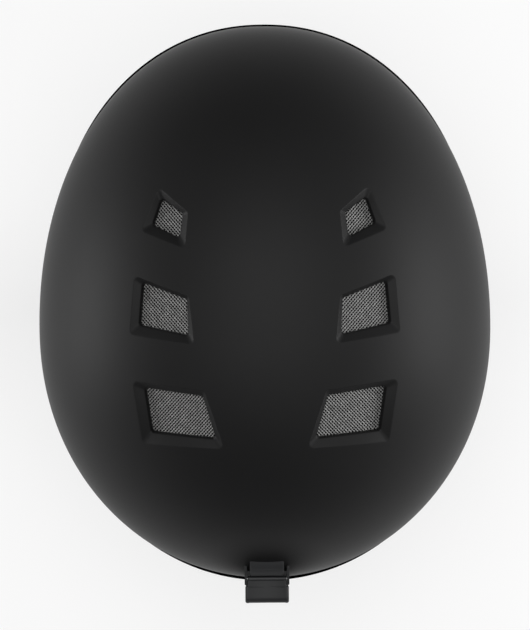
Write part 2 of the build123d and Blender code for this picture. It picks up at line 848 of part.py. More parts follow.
knob_radius = 13.0
with BuildPart() as dial_knob:
    with BuildSketch(dial_plane(84.6)):
        Circle(knob_radius)
        with PolarLocations(knob_radius + 0.6, 18):
            Circle(1.3, mode=Mode.SUBTRACT)
    extrude(amount=8)
    chamfer(dial_knob.faces().sort_by(Axis(fit_centre, fit_back))[-1].edges(), length=0.8)
    add(screw_bar, mode=Mode.SUBTRACT)
write("dial_knob", dial_knob)

# Goggle clip. Its base follows the shell, and the strap lies between the base and the flap.
base_layer = layer(-2.2, -0.05)
base_block = block((-clip_half_width, 100, -1), (clip_half_width, 160, 57))
shell_space = dome(-0.05)
clip_pin_plane = Plane(origin=(0, clip_pin_y, clip_pin_z), z_dir=(1, 0, 0))
toe_block = block((-8, 132, 2.9), (8, 142.3, 5.9))
bar_outline = [(124, 48), (134.2, 50), (134.2, 57.5), (130.5, 62), (124, 64)]
lug_outline = [
    (125, 44),
    (138, 47.6),
    (140.6, 49.6),
    (141.3, 52),
    (140.9, 54.3),
    (139, 56.5),
    (135.5, 57.6),
    (129, 61.8),
    (124, 64.5),
]
with BuildPart() as clip_plate:
    add(base_layer)
    add(base_block, mode=Mode.INTERSECT)
with BuildPart() as goggle_clip_base:
    with BuildSketch(Plane.YZ.offset(clip_half_width - clip_rail)):
        Polygon(*lug_outline, align=None)
        fillet(vertices().sort_by(Axis.X)[-4:], radius=1.6)
    extrude(amount=clip_rail)
    mirror(about=Plane.YZ)
    with BuildSketch(Plane.YZ):
        Polygon(*bar_outline, align=None)
        fillet(vertices().group_by(Axis.X)[-1], radius=0.8)
    extrude(amount=8.5, both=True)
    add(toe_block)
    add(shell_space, mode=Mode.SUBTRACT)
    add(clip_plate.part)
    with Locations(clip_pin_plane):
        Cylinder(radius=knuckle_radius + 0.2, height=2 * (clip_half_width - clip_rail), mode=Mode.SUBTRACT)
        Cylinder(radius=clip_pin_radius, height=40, mode=Mode.SUBTRACT)
    for plane in clip_screw_planes:
        with Locations(plane):
            Cylinder(radius=screw_radius, height=24, mode=Mode.SUBTRACT)
        with Locations(plane.offset(screw_seat)):
            Cylinder(radius=screw_head_radius, height=10, align=standing, mode=Mode.SUBTRACT)
write("goggle_clip_base", goggle_clip_base)

with BuildPart() as goggle_clip_pin:
    with Locations(clip_pin_plane):
        Cylinder(radius=clip_pin_radius, height=2 * clip_half_width - 0.4)
write("goggle_clip_pin", goggle_clip_pin)

flap_line = [
    (clip_pin_y + 1, clip_pin_z),
    (clip_back_y - flap_wall / 2, clip_pin_z - 1.5),
    (clip_back_y - flap_wall / 2, clip_hook_z),
    (139.9, clip_hook_z),
]
with BuildPart() as goggle_clip_flap:
    with BuildLine() as flap_path:
        FilletPolyline(*[(0, y, z) for y, z in flap_line], radius=[6, 3])
    with BuildSketch(Plane(origin=flap_path.line @ 0, x_dir=(1, 0, 0), z_dir=flap_path.line % 0)):
        Rectangle(2 * flap_half_width, flap_wall)
    sweep()
    with BuildSketch(Plane.YZ):
        with Locations((clip_pin_y, clip_pin_z)):
            Circle(knuckle_radius)
    extrude(amount=knuckle_half_width, both=True)
    for side in (-1, 1):
        with Locations((side * (knuckle_half_width + 5), clip_pin_y + flap_neck / 2, clip_pin_z)):
            Box(10, flap_neck, 8, mode=Mode.SUBTRACT)
    with Locations(clip_pin_plane):
        Cylinder(radius=clip_pin_radius + running_fit, height=40, mode=Mode.SUBTRACT)
write("goggle_clip_flap", goggle_clip_flap)

with BuildPart() as goggle_clip_screws:
    for plane in clip_screw_planes:
        with Locations(plane.offset(screw_seat)):
            Cylinder(radius=screw_head_radius, height=0.9, align=standing)
            Cylinder(radius=screw_radius, height=6.5, align=hanging)
write("goggle_clip_screws", goggle_clip_screws)

with BuildPart() as clip_nut_plate:
    add(nut_layer)
    add(nut_plate_block, mode=Mode.INTERSECT)
    for plane in clip_screw_planes:
        with Locations(plane):
            Cylinder(radius=screw_radius, height=24, mode=Mode.SUBTRACT)
write("clip_nut_plate", clip_nut_plate)
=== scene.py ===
import math

import bmesh
import bpy
import numpy as np
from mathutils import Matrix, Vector, geometry


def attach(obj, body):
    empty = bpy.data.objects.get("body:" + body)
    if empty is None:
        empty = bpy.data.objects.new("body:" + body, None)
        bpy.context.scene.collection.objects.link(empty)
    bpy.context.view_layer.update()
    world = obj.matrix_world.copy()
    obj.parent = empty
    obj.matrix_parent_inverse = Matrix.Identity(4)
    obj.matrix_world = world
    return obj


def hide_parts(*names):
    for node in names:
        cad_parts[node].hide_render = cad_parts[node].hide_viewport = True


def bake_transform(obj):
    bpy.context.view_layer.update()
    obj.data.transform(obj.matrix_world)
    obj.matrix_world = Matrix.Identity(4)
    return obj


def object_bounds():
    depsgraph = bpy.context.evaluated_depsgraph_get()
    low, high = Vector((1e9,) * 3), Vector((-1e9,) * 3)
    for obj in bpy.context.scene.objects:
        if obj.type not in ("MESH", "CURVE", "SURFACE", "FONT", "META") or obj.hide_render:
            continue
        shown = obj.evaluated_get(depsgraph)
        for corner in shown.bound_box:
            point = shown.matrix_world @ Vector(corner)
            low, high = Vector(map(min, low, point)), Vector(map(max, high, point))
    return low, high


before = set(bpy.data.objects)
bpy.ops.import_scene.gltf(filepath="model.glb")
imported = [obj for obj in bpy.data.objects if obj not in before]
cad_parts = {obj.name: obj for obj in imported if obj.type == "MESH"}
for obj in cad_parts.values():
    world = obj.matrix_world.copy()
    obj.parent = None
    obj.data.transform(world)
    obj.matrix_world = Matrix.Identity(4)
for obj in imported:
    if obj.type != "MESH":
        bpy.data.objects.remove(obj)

cad_low, cad_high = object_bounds()

MM = 0.001

# ---------------- the dome, in millimetres
# The same surface as the CAD shell: half a superellipsoid on a plane that leans down towards the
# back, and a skirt that drops straight down from it.
HALF_WIDTH, FRONT_REACH, REAR_REACH, RISE = 112.5, 149.5, 125.5, 105.0
LEAN = math.radians(5.0)
PROFILE_POWER, PLAN_POWER, PLAN_CHANGE = 2.15, 2.07, 0.05
TUCK, FLARE = 0.12, 0.05
DOME_X = np.array([1.0, 0.0, 0.0])
DOME_Y = np.array([0.0, math.cos(LEAN), -math.sin(LEAN)])
DOME_Z = np.array([0.0, math.sin(LEAN), math.cos(LEAN)])
DOME_MIDDLE = np.array([0.0, 12.0, 20.0])
CROWN_TO_WIDEST = 165.0
RIM_LINE = np.array([(-165, 15), (-95, 10), (-45, -14), (0, -22), (50, -30), (95, -36), (160, -30)], float)


def unit(vectors):
    """The same directions with a length of one."""
    return vectors / np.linalg.norm(vectors, axis=-1, keepdims=True)


def tangents(line):
    """The direction of an open line at each of its points."""
    return unit(np.gradient(line, axis=0))


def way_along(line):
    """How far each point of a line lies from its start, along the line."""
    return np.concatenate([[0], np.cumsum(np.linalg.norm(np.diff(line, axis=0), axis=1))])


def natural_spline(points, at):
    """Heights of the natural cubic through (y, z) points, at the given y."""
    x, z = points.T
    h = np.diff(x)
    n = len(x)
    system, right = np.eye(n), np.zeros(n)
    for i in range(1, n - 1):
        system[i, i - 1 : i + 2] = h[i - 1], 2 * (h[i - 1] + h[i]), h[i]
        right[i] = 6 * ((z[i + 1] - z[i]) / h[i] - (z[i] - z[i - 1]) / h[i - 1])
    m = np.linalg.solve(system, right)
    at = np.clip(at, x[0], x[-1])
    k = np.clip(np.searchsorted(x, at) - 1, 0, n - 2)
    step = h[k]
    height = 0
    for reach, end in ((x[k + 1] - at, k), (at - x[k], k + 1)):
        height += m[end] * reach**3 / (6 * step) + (z[end] / step - m[end] * step / 6) * reach
    return height


def skin(u, v, inset=0.0):
    """Points of the dome at a depth under the shell's surface. (u, v) is a flat map with the crown at
    its middle: the distance from the middle is the way down the surface."""
    u, v = np.asarray(u, float), np.asarray(v, float)
    angle, way = np.arctan2(v, u), np.hypot(u, v)
    power = 2 / (PLAN_POWER - PLAN_CHANGE * np.sin(angle))
    across = np.sign(np.cos(angle)) * np.abs(np.cos(angle)) ** power
    along = np.sign(np.sin(angle)) * np.abs(np.sin(angle)) ** power
    reach = np.where(np.sin(angle) > 0, REAR_REACH, FRONT_REACH) - inset
    elevation = np.clip(1 - way / CROWN_TO_WIDEST, 0, 1) * math.pi / 2
    share = np.cos(elevation) ** (2 / PROFILE_POWER)
    height = (RISE - inset) * np.sin(elevation) ** (2 / PROFILE_POWER)
    drop = np.clip(way - CROWN_TO_WIDEST, 0, None)
    x = (HALF_WIDTH - inset) * share * across * (1 - TUCK * (drop / 100) ** 2)
    y = reach * share * along * (1 + FLARE * (drop / 100) ** 2)
    base = DOME_MIDDLE - np.multiply.outer(drop, np.array([0, 0, 1.0]))
    return base + x[..., None] * DOME_X + y[..., None] * DOME_Y + height[..., None] * DOME_Z


def skin_normal(u, v, inset=0.0):
    """Outward normals of the dome."""
    step = 0.4
    along_u = skin(np.add(u, step), v, inset) - skin(np.subtract(u, step), v, inset)
    along_v = skin(u, np.add(v, step), inset) - skin(u, np.subtract(v, step), inset)
    return unit(np.cross(along_u, along_v))


def on_map(places, inset=0.0):
    """The map places of points that lie over (x, y) places of the dome plane."""
    x, y = np.asarray(places, float).T
    a, b = HALF_WIDTH - inset, np.where(y > 0, REAR_REACH, FRONT_REACH) - inset
    angle = np.arctan2(y / b, x / a)
    for _ in range(6):
        half_power = (PLAN_POWER - PLAN_CHANGE * np.sin(angle)) / 2
        angle = np.arctan2(np.sign(y) * np.abs(y / b) ** half_power, np.sign(x) * np.abs(x / a) ** half_power)
    power = PLAN_POWER - PLAN_CHANGE * np.sin(angle)
    share = (np.abs(x / a) ** power + np.abs(y / b) ** power) ** (1 / power)
    way = CROWN_TO_WIDEST * (1 - np.arccos(np.clip(share, 0, 1) ** (PROFILE_POWER / 2)) / (math.pi / 2))
    return way * np.cos(angle), way * np.sin(angle)


def over_plane(places, inset=0.0):
    """The dome points over (x, y) places of the dome plane."""
    return skin(*on_map(places, inset), inset)


def rim_way(angle, shift=0.0):
    """How far down the map the rim line lies, in each direction, moved up by a shift."""
    low, high = np.full(angle.shape, 120.0), np.full(angle.shape, CROWN_TO_WIDEST + 75)
    for _ in range(40):
        middle = (low + high) / 2
        point = skin(middle * np.cos(angle), middle * np.sin(angle))
        above = point[..., 2] > natural_spline(RIM_LINE, point[..., 1]) + shift
        low, high = np.where(above, middle, low), np.where(above, high, middle)
    return (low + high) / 2


# ---------------- materials

STEEL_TONE = (0.45, 0.45, 0.46)


def node_tools(material):
    """Two helpers for a material: one adds a node and gives its output, the other sets or links the shader's
    inputs and its relief."""
    material.use_nodes = True
    tree = material.node_tree

    def fill(node, inputs):
        for key, value in inputs.items():
            if isinstance(value, bpy.types.NodeSocket):
                tree.links.new(value, node.inputs[key])
            else:
                node.inputs[key].default_value = value

    def add(kind, inputs=None, take=0, **settings):
        node = tree.nodes.new("ShaderNode" + kind)
        for key, value in settings.items():
            setattr(node, key, value)
        fill(node, inputs or {})
        return node.outputs[take] if take is not None else node

    def finish(inputs, height=None, strength=0.5, depth=0.1):
        fill(tree.nodes["Principled BSDF"], inputs)
        if height is not None:
            bump = add("Bump", {"Height": height, "Strength": strength, "Distance": depth * MM})
            fill(tree.nodes["Principled BSDF"], {"Normal": bump})
        return material

    return add, finish


def node_material(name):
    """A new material's two helpers, and the place on the object that its patterns follow."""
    add, finish = node_tools(bpy.data.materials.new(name))
    return add, finish, add("TexCoord", take="Object")


def ramp(add, factor, stops):
    """A colour ramp from (position, grey or colour) stops."""
    node = add("ValToRGB", {"Fac": factor}, None)
    elements = node.color_ramp.elements
    while len(elements) < len(stops):
        elements.new(0.5)
    for element, (position, tone) in zip(elements, stops):
        tone = tone if isinstance(tone, tuple) else (tone, tone, tone)
        element.position = position
        element.color = (*tone, 1)
    return node.outputs["Color"]


def darkened(add, tone, share):
    """One colour multiplied by another."""
    return add("Mix", {"Factor": 1.0, "A": tone, "B": share}, "Result", data_type="RGBA", blend_type="MULTIPLY")


def shade(tone, factor):
    return tuple(c * factor for c in tone)


def moulded(name, tone, roughness, grain=1400, depth=0.02, sheen=0.0, specular=0.5, wear=0.25):
    """Moulded or sprayed plastic: a fine grain, broad cloudy changes of tone and lighter worn edges."""
    add, finish, where = node_material(name)
    cloud = add("TexNoise", {"Vector": where, "Scale": 18, "Detail": 5, "Roughness": 0.6}, "Fac")
    fine = add("TexNoise", {"Vector": where, "Scale": grain, "Detail": 3, "Roughness": 0.65}, "Fac")
    cloudy = ramp(add, cloud, [(0.3, shade(tone, 0.92)), (0.7, shade(tone, 1.08))])
    worn = ramp(add, add("NewGeometry", take="Pointiness"), [(0.53, 0.0), (0.62, wear)])
    mixed = add("Mix", {"Factor": worn, "A": cloudy, "B": (*shade(tone, 2.2), 1)}, "Result", data_type="RGBA")
    rough = add("MapRange", {"Value": fine, "To Min": roughness - 0.06, "To Max": roughness + 0.08})
    return finish({"Base Color": mixed, "Roughness": rough, "Sheen Weight": sheen, "Sheen Roughness": 0.6,
                   "Specular IOR Level": specular}, fine, 0.5, depth)


def shell_material():
    """The shell's matt black, paler seen edge on, with painted shade ahead of the clip: its reflection is
    turned down near the clip's foot.
    """
    painted_shade_centre, painted_shade_start, painted_shade_end = (0, 0.131, 0.058), 0.009, 0.034
    tone = (0.0072, 0.0072, 0.0074)
    material = moulded("shell_matt", tone, 0.56, grain=2600, depth=0.03, sheen=0.04, wear=0.12)
    add, finish = node_tools(material)
    # Painted shade: the specular level falls from 0.2 to 0.02 towards the clip's foot. It stands in for the
    # clip's shadow on the shell.
    gap = add("VectorMath", {0: add("TexCoord", take="Object"), 1: painted_shade_centre}, "Value", operation="DISTANCE")
    level = add("MapRange", {"Value": gap, "From Min": painted_shade_start, "From Max": painted_shade_end, "To Min": 0.02,
                             "To Max": 0.2}, interpolation_type="SMOOTHSTEP")
    return finish({"Specular IOR Level": level, "Sheen Roughness": 0.25})


def thread_material(name, tone):
    """Mesh thread: twisted yarn, a little darker here and there."""
    add, finish, where = node_material(name)
    patch = add("TexNoise", {"Vector": where, "Scale": 420, "Detail": 3, "Roughness": 0.6}, "Fac")
    patchy = ramp(add, patch, [(0.3, shade(tone, 0.75)), (0.5, tone), (0.7, shade(tone, 1.3))])
    twist = add("TexWave", {"Vector": where, "Scale": 900, "Distortion": 2.0, "Detail": 1}, "Fac",
                bands_direction="DIAGONAL")
    return finish({"Base Color": patchy, "Roughness": 0.62, "Specular IOR Level": 0.3}, twist, 0.35, 0.05)


def fabric(name, tone, thread=0.9, relief=0.12, sheen=0.35, fuzz=0.0):
    """Knitted fabric: rows of small stitches with painted shade in their hollows and painted highlight on their
    loops, slight changes of tone, and a soft sheen.
    """
    add, finish, where = node_material(name)
    scale, loose = 314 / thread, {"Vector": where, "Distortion": 1.5, "Detail": 1}
    rows, columns = (
        add("TexWave", {**loose, "Scale": pitch}, "Fac", bands_direction=way)
        for pitch, way in ((scale, "DIAGONAL"), (scale * 1.15, "Z"))
    )
    stitch = add("Math", {0: rows, 1: columns}, operation="MULTIPLY")
    fibres = add("TexNoise", {"Vector": where, "Scale": 2600, "Detail": 4, "Roughness": 0.75}, "Fac")
    cloud = add("TexNoise", {"Vector": where, "Scale": 30, "Detail": 4}, "Fac")
    height = add("Mix", {"Factor": fuzz, "A": stitch, "B": fibres}, data_type="FLOAT")
    # Painted shade and highlight: the colour follows the stitch relief, darker in the hollows and lighter on
    # the raised loops.
    dark = ramp(add, height, [(0.0, shade(tone, 0.55)), (0.55, tone), (1.0, shade(tone, 1.5))])
    clouded = ramp(add, cloud, [(0.3, 0.85), (0.7, 1.0)])
    return finish({"Base Color": darkened(add, dark, clouded), "Roughness": 0.85, "Specular IOR Level": 0.2,
                   "Sheen Weight": sheen, "Sheen Roughness": 0.45}, height, 0.8, relief)


def webbing(name, tone):
    """Flat woven webbing in strap coordinates, in millimetres: fine ribs across, a chevron and firm edges, with
    painted shade in the weave's hollows and painted highlight on its ribs.
    """
    add, finish = node_tools(bpy.data.materials.new(name))
    where = add("UVMap", take="UV")
    split = add("SeparateXYZ", {"Vector": where}, None).outputs

    def maths(operation, *values):
        return add("Math", dict(enumerate(values)), operation=operation)

    leaned = maths("ADD", maths("PINGPONG", split["X"], 4.0), split["Y"])
    rib = maths("SINE", maths("MULTIPLY", leaned, 2 * math.pi / 1.1))
    pick = maths("SINE", maths("MULTIPLY", split["X"], 2 * math.pi / 0.8))
    height = add("MapRange", {"Value": maths("ADD", rib, pick), "From Min": -2.0, "From Max": 2.0})
    fibres = add("TexNoise", {"Vector": where, "Scale": 6.0, "Detail": 4}, "Fac")
    # Painted shade and highlight: the colour follows the weave relief, darker in its hollows and lighter on its
    # ribs.
    painted_weave_shading = ramp(add, height, [(0.1, shade(tone, 0.5)), (0.6, tone), (0.95, shade(tone, 1.7))])
    speck = ramp(add, fibres, [(0.3, 0.8), (0.7, 1.0)])
    tinted = darkened(add, painted_weave_shading, speck)
    return finish({"Base Color": tinted, "Roughness": 0.7, "Sheen Weight": 0.25}, height, 0.7, 0.15)


def foam(name, tone):
    """Moulded bead foam: rounded beads about 3 mm across, pressed together, with darker joints."""
    add, finish, where = node_material(name)
    bead = {"Vector": where, "Scale": 330, "Randomness": 0.85}
    edge = add("TexVoronoi", bead, "Distance", feature="DISTANCE_TO_EDGE")
    joints = ramp(add, edge, [(0.0, 0.35), (0.09, 1.0)])
    tint = ramp(add, add("TexVoronoi", bead, "Color"), [(0.2, shade(tone, 0.85)), (0.8, shade(tone, 1.15))])
    height = add("MapRange", {"Value": edge, "From Max": 0.3}, interpolation_type="SMOOTHSTEP")
    return finish({"Base Color": darkened(add, tint, joints), "Roughness": 0.7, "Subsurface Weight": 0.05,
                   "Subsurface Scale": 0.002}, height, 0.6, 0.25)


def steel(name):
    """Turned steel: fine rings of brushing and faint smudges."""
    add, finish, where = node_material(name)
    smudge = add("TexNoise", {"Vector": where, "Scale": 160, "Detail": 5}, "Fac")
    lines = add("TexWave", {"Vector": where, "Scale": 1800, "Distortion": 4}, "Fac", bands_direction="X")
    tone = ramp(add, smudge, [(0.3, shade(STEEL_TONE, 0.85)), (0.7, STEEL_TONE)])
    rough = add("MapRange", {"Value": smudge, "To Min": 0.25, "To Max": 0.45})
    return finish({"Base Color": tone, "Roughness": rough, "Metallic": 1.0}, lines, 0.3, 0.01)


# ---------------- mesh helpers

def placed(name, data):
    """A new object in the scene."""
    thing = bpy.data.objects.new(name, data)
    bpy.context.scene.collection.objects.link(thing)
    return thing


def new_piece(name, vertices, faces, material, body, replaces=(), smooth=True, normals=None):
    """A mesh object from millimetres, riding on a body."""
    mesh = bpy.data.meshes.new(name)
    mesh.from_pydata([tuple(p) for p in np.asarray(vertices, float) * MM], [], [tuple(f) for f in faces])
    mesh.validate()
    mesh.polygons.foreach_set("use_smooth", [smooth] * len(mesh.polygons))
    if normals is not None:
        mesh.normals_split_custom_set_from_vertices([tuple(n) for n in normals])
    mesh.materials.append(material)
    piece = placed(name, mesh)
    if body:
        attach(piece, body)
    for node in replaces:
        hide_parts(node)
    return piece


def corner_arc(before, corner, after, radius, steps):
    """Points of the arc that rounds a corner between its two neighbours."""
    back, ahead = unit(before - corner), unit(after - corner)
    half = math.acos(np.clip(back @ ahead, -1, 1)) / 2
    spread = math.pi - 2 * half
    middle = corner + unit(back + ahead) * radius / math.sin(half)
    a, b = (corner + way * radius / math.tan(half) - middle for way in (back, ahead))
    share = np.arange(steps + 1)[:, None] / steps
    return middle + (a * np.sin((1 - share) * spread) + b * np.sin(share * spread)) / math.sin(spread)


def rounded_loop(corners, radius, per_corner=6, per_edge=9):
    """A closed outline with rounded corners, always with the same number of points for the same settings."""
    corners = np.array(corners, float)
    neighbours = zip(np.roll(corners, 1, 0), corners, np.roll(corners, -1, 0))
    arcs = [corner_arc(*three, radius, per_corner) for three in neighbours]
    share = np.arange(1, per_edge)[:, None] / per_edge
    loop = []
    for arc, following in zip(arcs, arcs[1:] + arcs[:1]):
        loop += [arc, arc[-1] + (following[0] - arc[-1]) * share]
    return np.concatenate(loop)


def grown(loop, amount):
    """A closed outline moved outwards by an amount."""
    along = np.roll(loop, -1, 0) - np.roll(loop, 1, 0)
    out = unit(np.stack([along[:, 1], -along[:, 0]], 1))
    if ((loop - loop.mean(0)) * out).sum() < 0:
        out = -out
    return loop + out * amount


def inside(points, loop):
    """Which points lie inside a closed outline."""
    x, y = points[:, 0][:, None], points[:, 1][:, None]
    ax, ay = loop[:, 0][None], loop[:, 1][None]
    bx, by = np.roll(loop[:, 0], -1)[None], np.roll(loop[:, 1], -1)[None]
    crosses = (ay > y) != (by > y)
    with np.errstate(divide="ignore", invalid="ignore"):
        at = ax + (y - ay) * (bx - ax) / (by - ay)
    return (crosses & (x < at)).sum(1) % 2 == 1


def edge_distance(points, starts, ends):
    """Distance of each point from the nearest of some straight edges."""
    along = ends - starts
    offset = points[:, None] - starts[None]
    share = np.clip((offset * along[None]).sum(2) / (along**2).sum(1)[None], 0, 1)
    return np.linalg.norm(offset - share[..., None] * along[None], axis=2).min(1)


def points_along(line, at):
    """The points of a line at some ways along it."""
    total = way_along(line)
    return np.stack([np.interp(at, total, line[:, k]) for k in range(line.shape[1])], 1)


def even_loop(outline, spacing):
    """A closed outline with points at an even spacing."""
    closed = np.concatenate([outline, outline[:1]])
    length = way_along(closed)[-1]
    count = max(12, int(length / spacing))
    return points_along(closed, np.arange(count) * length / count)


def rounded_path(points, radii, step=1.5):
    """Evenly spaced points along a path of straight stretches joined by arcs."""
    points = np.array(points, float)
    arcs = [corner_arc(*points[i : i + 3], radius, 12) for i, radius in enumerate(radii)]
    path = np.concatenate([points[:1], *arcs, points[-1:]])
    length = way_along(path)[-1]
    return points_along(path, np.linspace(0, length, int(length / step) + 2))


def grid_faces(rows, columns, start=0, closed=True, ends=None):
    """Quads between rows of points that go round. The end rows may be "capped", or "joined" to each other."""
    faces = []
    for r in range(rows - 1):
        for c in range(columns if closed else columns - 1):
            a, b = start + r * columns + c, start + r * columns + (c + 1) % columns
            faces.append((a, b, b + columns, a + columns))
    first, last = range(start, start + columns), range(start + (rows - 1) * columns, start + rows * columns)
    if ends == "capped":
        faces += [tuple(first)[::-1], tuple(last)]
    elif ends == "joined":
        following = [(c + 1) % columns for c in range(columns)]
        faces += [(last[c], last[d], first[d], first[c]) for c, d in enumerate(following)]
    return faces


def ring(middle, side, up, count, wide, high):
    """Points round an oval."""
    angles = [2 * math.pi * k / count for k in range(count)]
    return [middle + side * math.cos(a) * wide + up * math.sin(a) * high for a in angles]


def staggered_grid(corner, columns, rows, spacing):
    """Points in rows, with every other row moved along by half a step."""
    c, r = np.meshgrid(columns, rows)
    x, y = c * spacing + (r % 2) * spacing / 2 + corner[0], r * spacing * math.sqrt(3) / 2 + corner[1]
    return np.stack([x.ravel(), y.ravel()], 1)


def triangulate(points, edges):
    """Triangles over flat points that keep the given edges, all turned one way, and where each point went."""
    vectors = [Vector(p) for p in points]
    flat, _, triangles, originals, _, _ = geometry.delaunay_2d_cdt(vectors, edges, [], 1, 1e-6)
    flat, triangles = np.array([tuple(p) for p in flat]), np.array(list(triangles))
    a, b, c = (flat[triangles[:, k]] for k in range(3))
    turned = np.cross(b - a, c - a) < 0
    triangles[turned] = triangles[turned][:, ::-1]
    return flat, triangles, originals


def fill_outline(outline, spacing):
    """Triangles inside an outline: points, triangles and each point's distance from the edge."""
    low, size = outline.min(0), np.ptp(outline, 0)
    columns, rows = int(size[0] / spacing) + 2, int(size[1] / (spacing * math.sqrt(3) / 2)) + 2
    grid = staggered_grid(low, np.arange(columns), np.arange(rows), spacing)
    grid = grid[inside(grid, outline)]
    ends = np.roll(outline, -1, 0)
    grid = grid[edge_distance(grid, outline, ends) > spacing * 0.55]
    edges = [(i, (i + 1) % len(outline)) for i in range(len(outline))]
    flat, triangles, _ = triangulate(np.concatenate([outline, grid]), edges)
    return flat, triangles, edge_distance(flat, outline, ends)


def tube(name, line, radius, material, body, closed=False, sections=8):
    """A round tube along a line of points."""
    along = unit(np.roll(line, -1, 0) - np.roll(line, 1, 0)) if closed else tangents(line)
    side = unit(np.cross(along, [0.31, 0.17, 0.93]))
    vertices = []
    for p, s, o in zip(line, side, np.cross(along, side)):
        vertices += ring(p, s, o, sections, radius, radius)
    faces = grid_faces(len(line), sections, ends="joined" if closed else "capped")
    new_piece(name, vertices, faces, material, body)


def refine(node, material, bevel):
    """A CAD part that keeps its shape: its edges are eased and it gets a finished material."""
    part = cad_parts[node]
    part.data.materials.clear()
    part.data.materials.append(material)
    if bevel:
        ease = part.modifiers.new("eased_edges", "BEVEL")
        ease.width, ease.segments = bevel * MM, 3
        ease.limit_method, ease.angle_limit = "ANGLE", math.radians(35)
        ease.harden_normals = ease.use_clamp_overlap = True


def ease_shading(piece, angle):
    """Smooth shading across shallow edges only."""
    mesh = piece.data
    mesh.polygons.foreach_set("use_smooth", [True] * len(mesh.polygons))
    mesh.set_sharp_from_angle(angle=math.radians(angle))


# ---------------- outer shell

# Corners of each recess and of its opening, over the dome plane, on the wearer's left.
VENT_RECESSES = {
    "front": [(50.5, -75), (36, -63), (37.5, -45.5), (59, -53.5)],
    "middle": [(62.5, -33), (36, -23.5), (33.5, 0), (65, -4)],
    "rear": [(64, 17.5), (29, 21.5), (19.5, 50.5), (59.5, 49)],
}
VENT_OPENINGS = {
    "front": [(48.9, -69.3), (38.7, -62), (40.2, -50.6), (53.2, -56.8)],
    "middle": [(58.2, -29.4), (37, -21.8), (36.3, -4.6), (60, -9)],
    "rear": [(57.8, 21), (29.8, 24.4), (23.8, 45.4), (54.8, 43)],
}
RECESS_CORNER, OPENING_CORNER = 2.2, 1.5
WALL, RECESS_DEPTH, COLLAR_DEPTH = 2.4, 2.3, 4.8
SIDES = {"left": 1, "right": -1}


def vent_loops(name, side):
    """The outline of a recess and of its opening on one side, over the dome plane."""
    corners = ((VENT_RECESSES[name], RECESS_CORNER), (VENT_OPENINGS[name], OPENING_CORNER))
    return [rounded_loop([(x * side, y) for x, y in points], radius) for points, radius in corners]


def recess_profile():
    """Share of the way across a recess, and its depth, from the shell's surface to the opening's edge."""
    soft, turn = 0.16, 0.12
    steps = []
    for share in (0, 0.03, 0.07, 0.12, 0.18, 0.3, 0.45, 0.6, 0.75, 0.88):
        slope = share * share / (2 * soft) if share < soft else share - soft / 2
        steps.append((share, RECESS_DEPTH * slope / (1 - soft / 2)))
    level = steps[-1][1]
    for k in range(1, 5):
        angle = math.radians(25 + 65 * k / 4)
        share = 1 - turn * (1 - math.sin(angle)) / (1 - math.sin(math.radians(25)))
        level += 0.16 * (0.5 + math.sin(angle))
        steps.append((share, level))
    return steps


def fill_map(loops, rim, spacing, offset):
    """Triangles over the map between the rim and the vent loops. Returns map points, triangles and, for
    each loop, the places of its points."""
    rim_angle, rim_reach = np.arctan2(rim[:, 1], rim[:, 0]), np.hypot(*rim.T)
    rows = int(float(rim_reach.max()) / (spacing * math.sqrt(3) / 2)) + 1
    columns = np.arange(-rows - 1, rows + 2)
    grid = staggered_grid((offset, offset), columns, columns[1:-1], spacing)
    order = np.argsort(rim_angle)
    angle = np.arctan2(grid[:, 1], grid[:, 0])
    edge = np.interp(angle, rim_angle[order], rim_reach[order], period=2 * math.pi)
    grid = grid[np.hypot(*grid.T) < edge - spacing * 0.6]
    for loop in loops:
        grid = grid[~inside(grid, grown(loop, spacing * 0.55))]
    points, edges, places = list(grid), [], []
    for loop in [rim, *loops]:
        place = list(range(len(points), len(points) + len(loop)))
        points += list(loop)
        edges += list(zip(place, place[1:] + place[:1]))
        places.append(place)
    flat, triangles, originals = triangulate(points, edges)
    new_place = {old: new for new, olds in enumerate(originals) for old in olds}
    places = [[new_place[i] for i in place] for place in places]
    middle = flat[triangles].mean(1)
    keep = np.ones(len(triangles), bool)
    for loop in loops:
        keep &= ~inside(middle, loop)
    return flat, triangles[keep], places


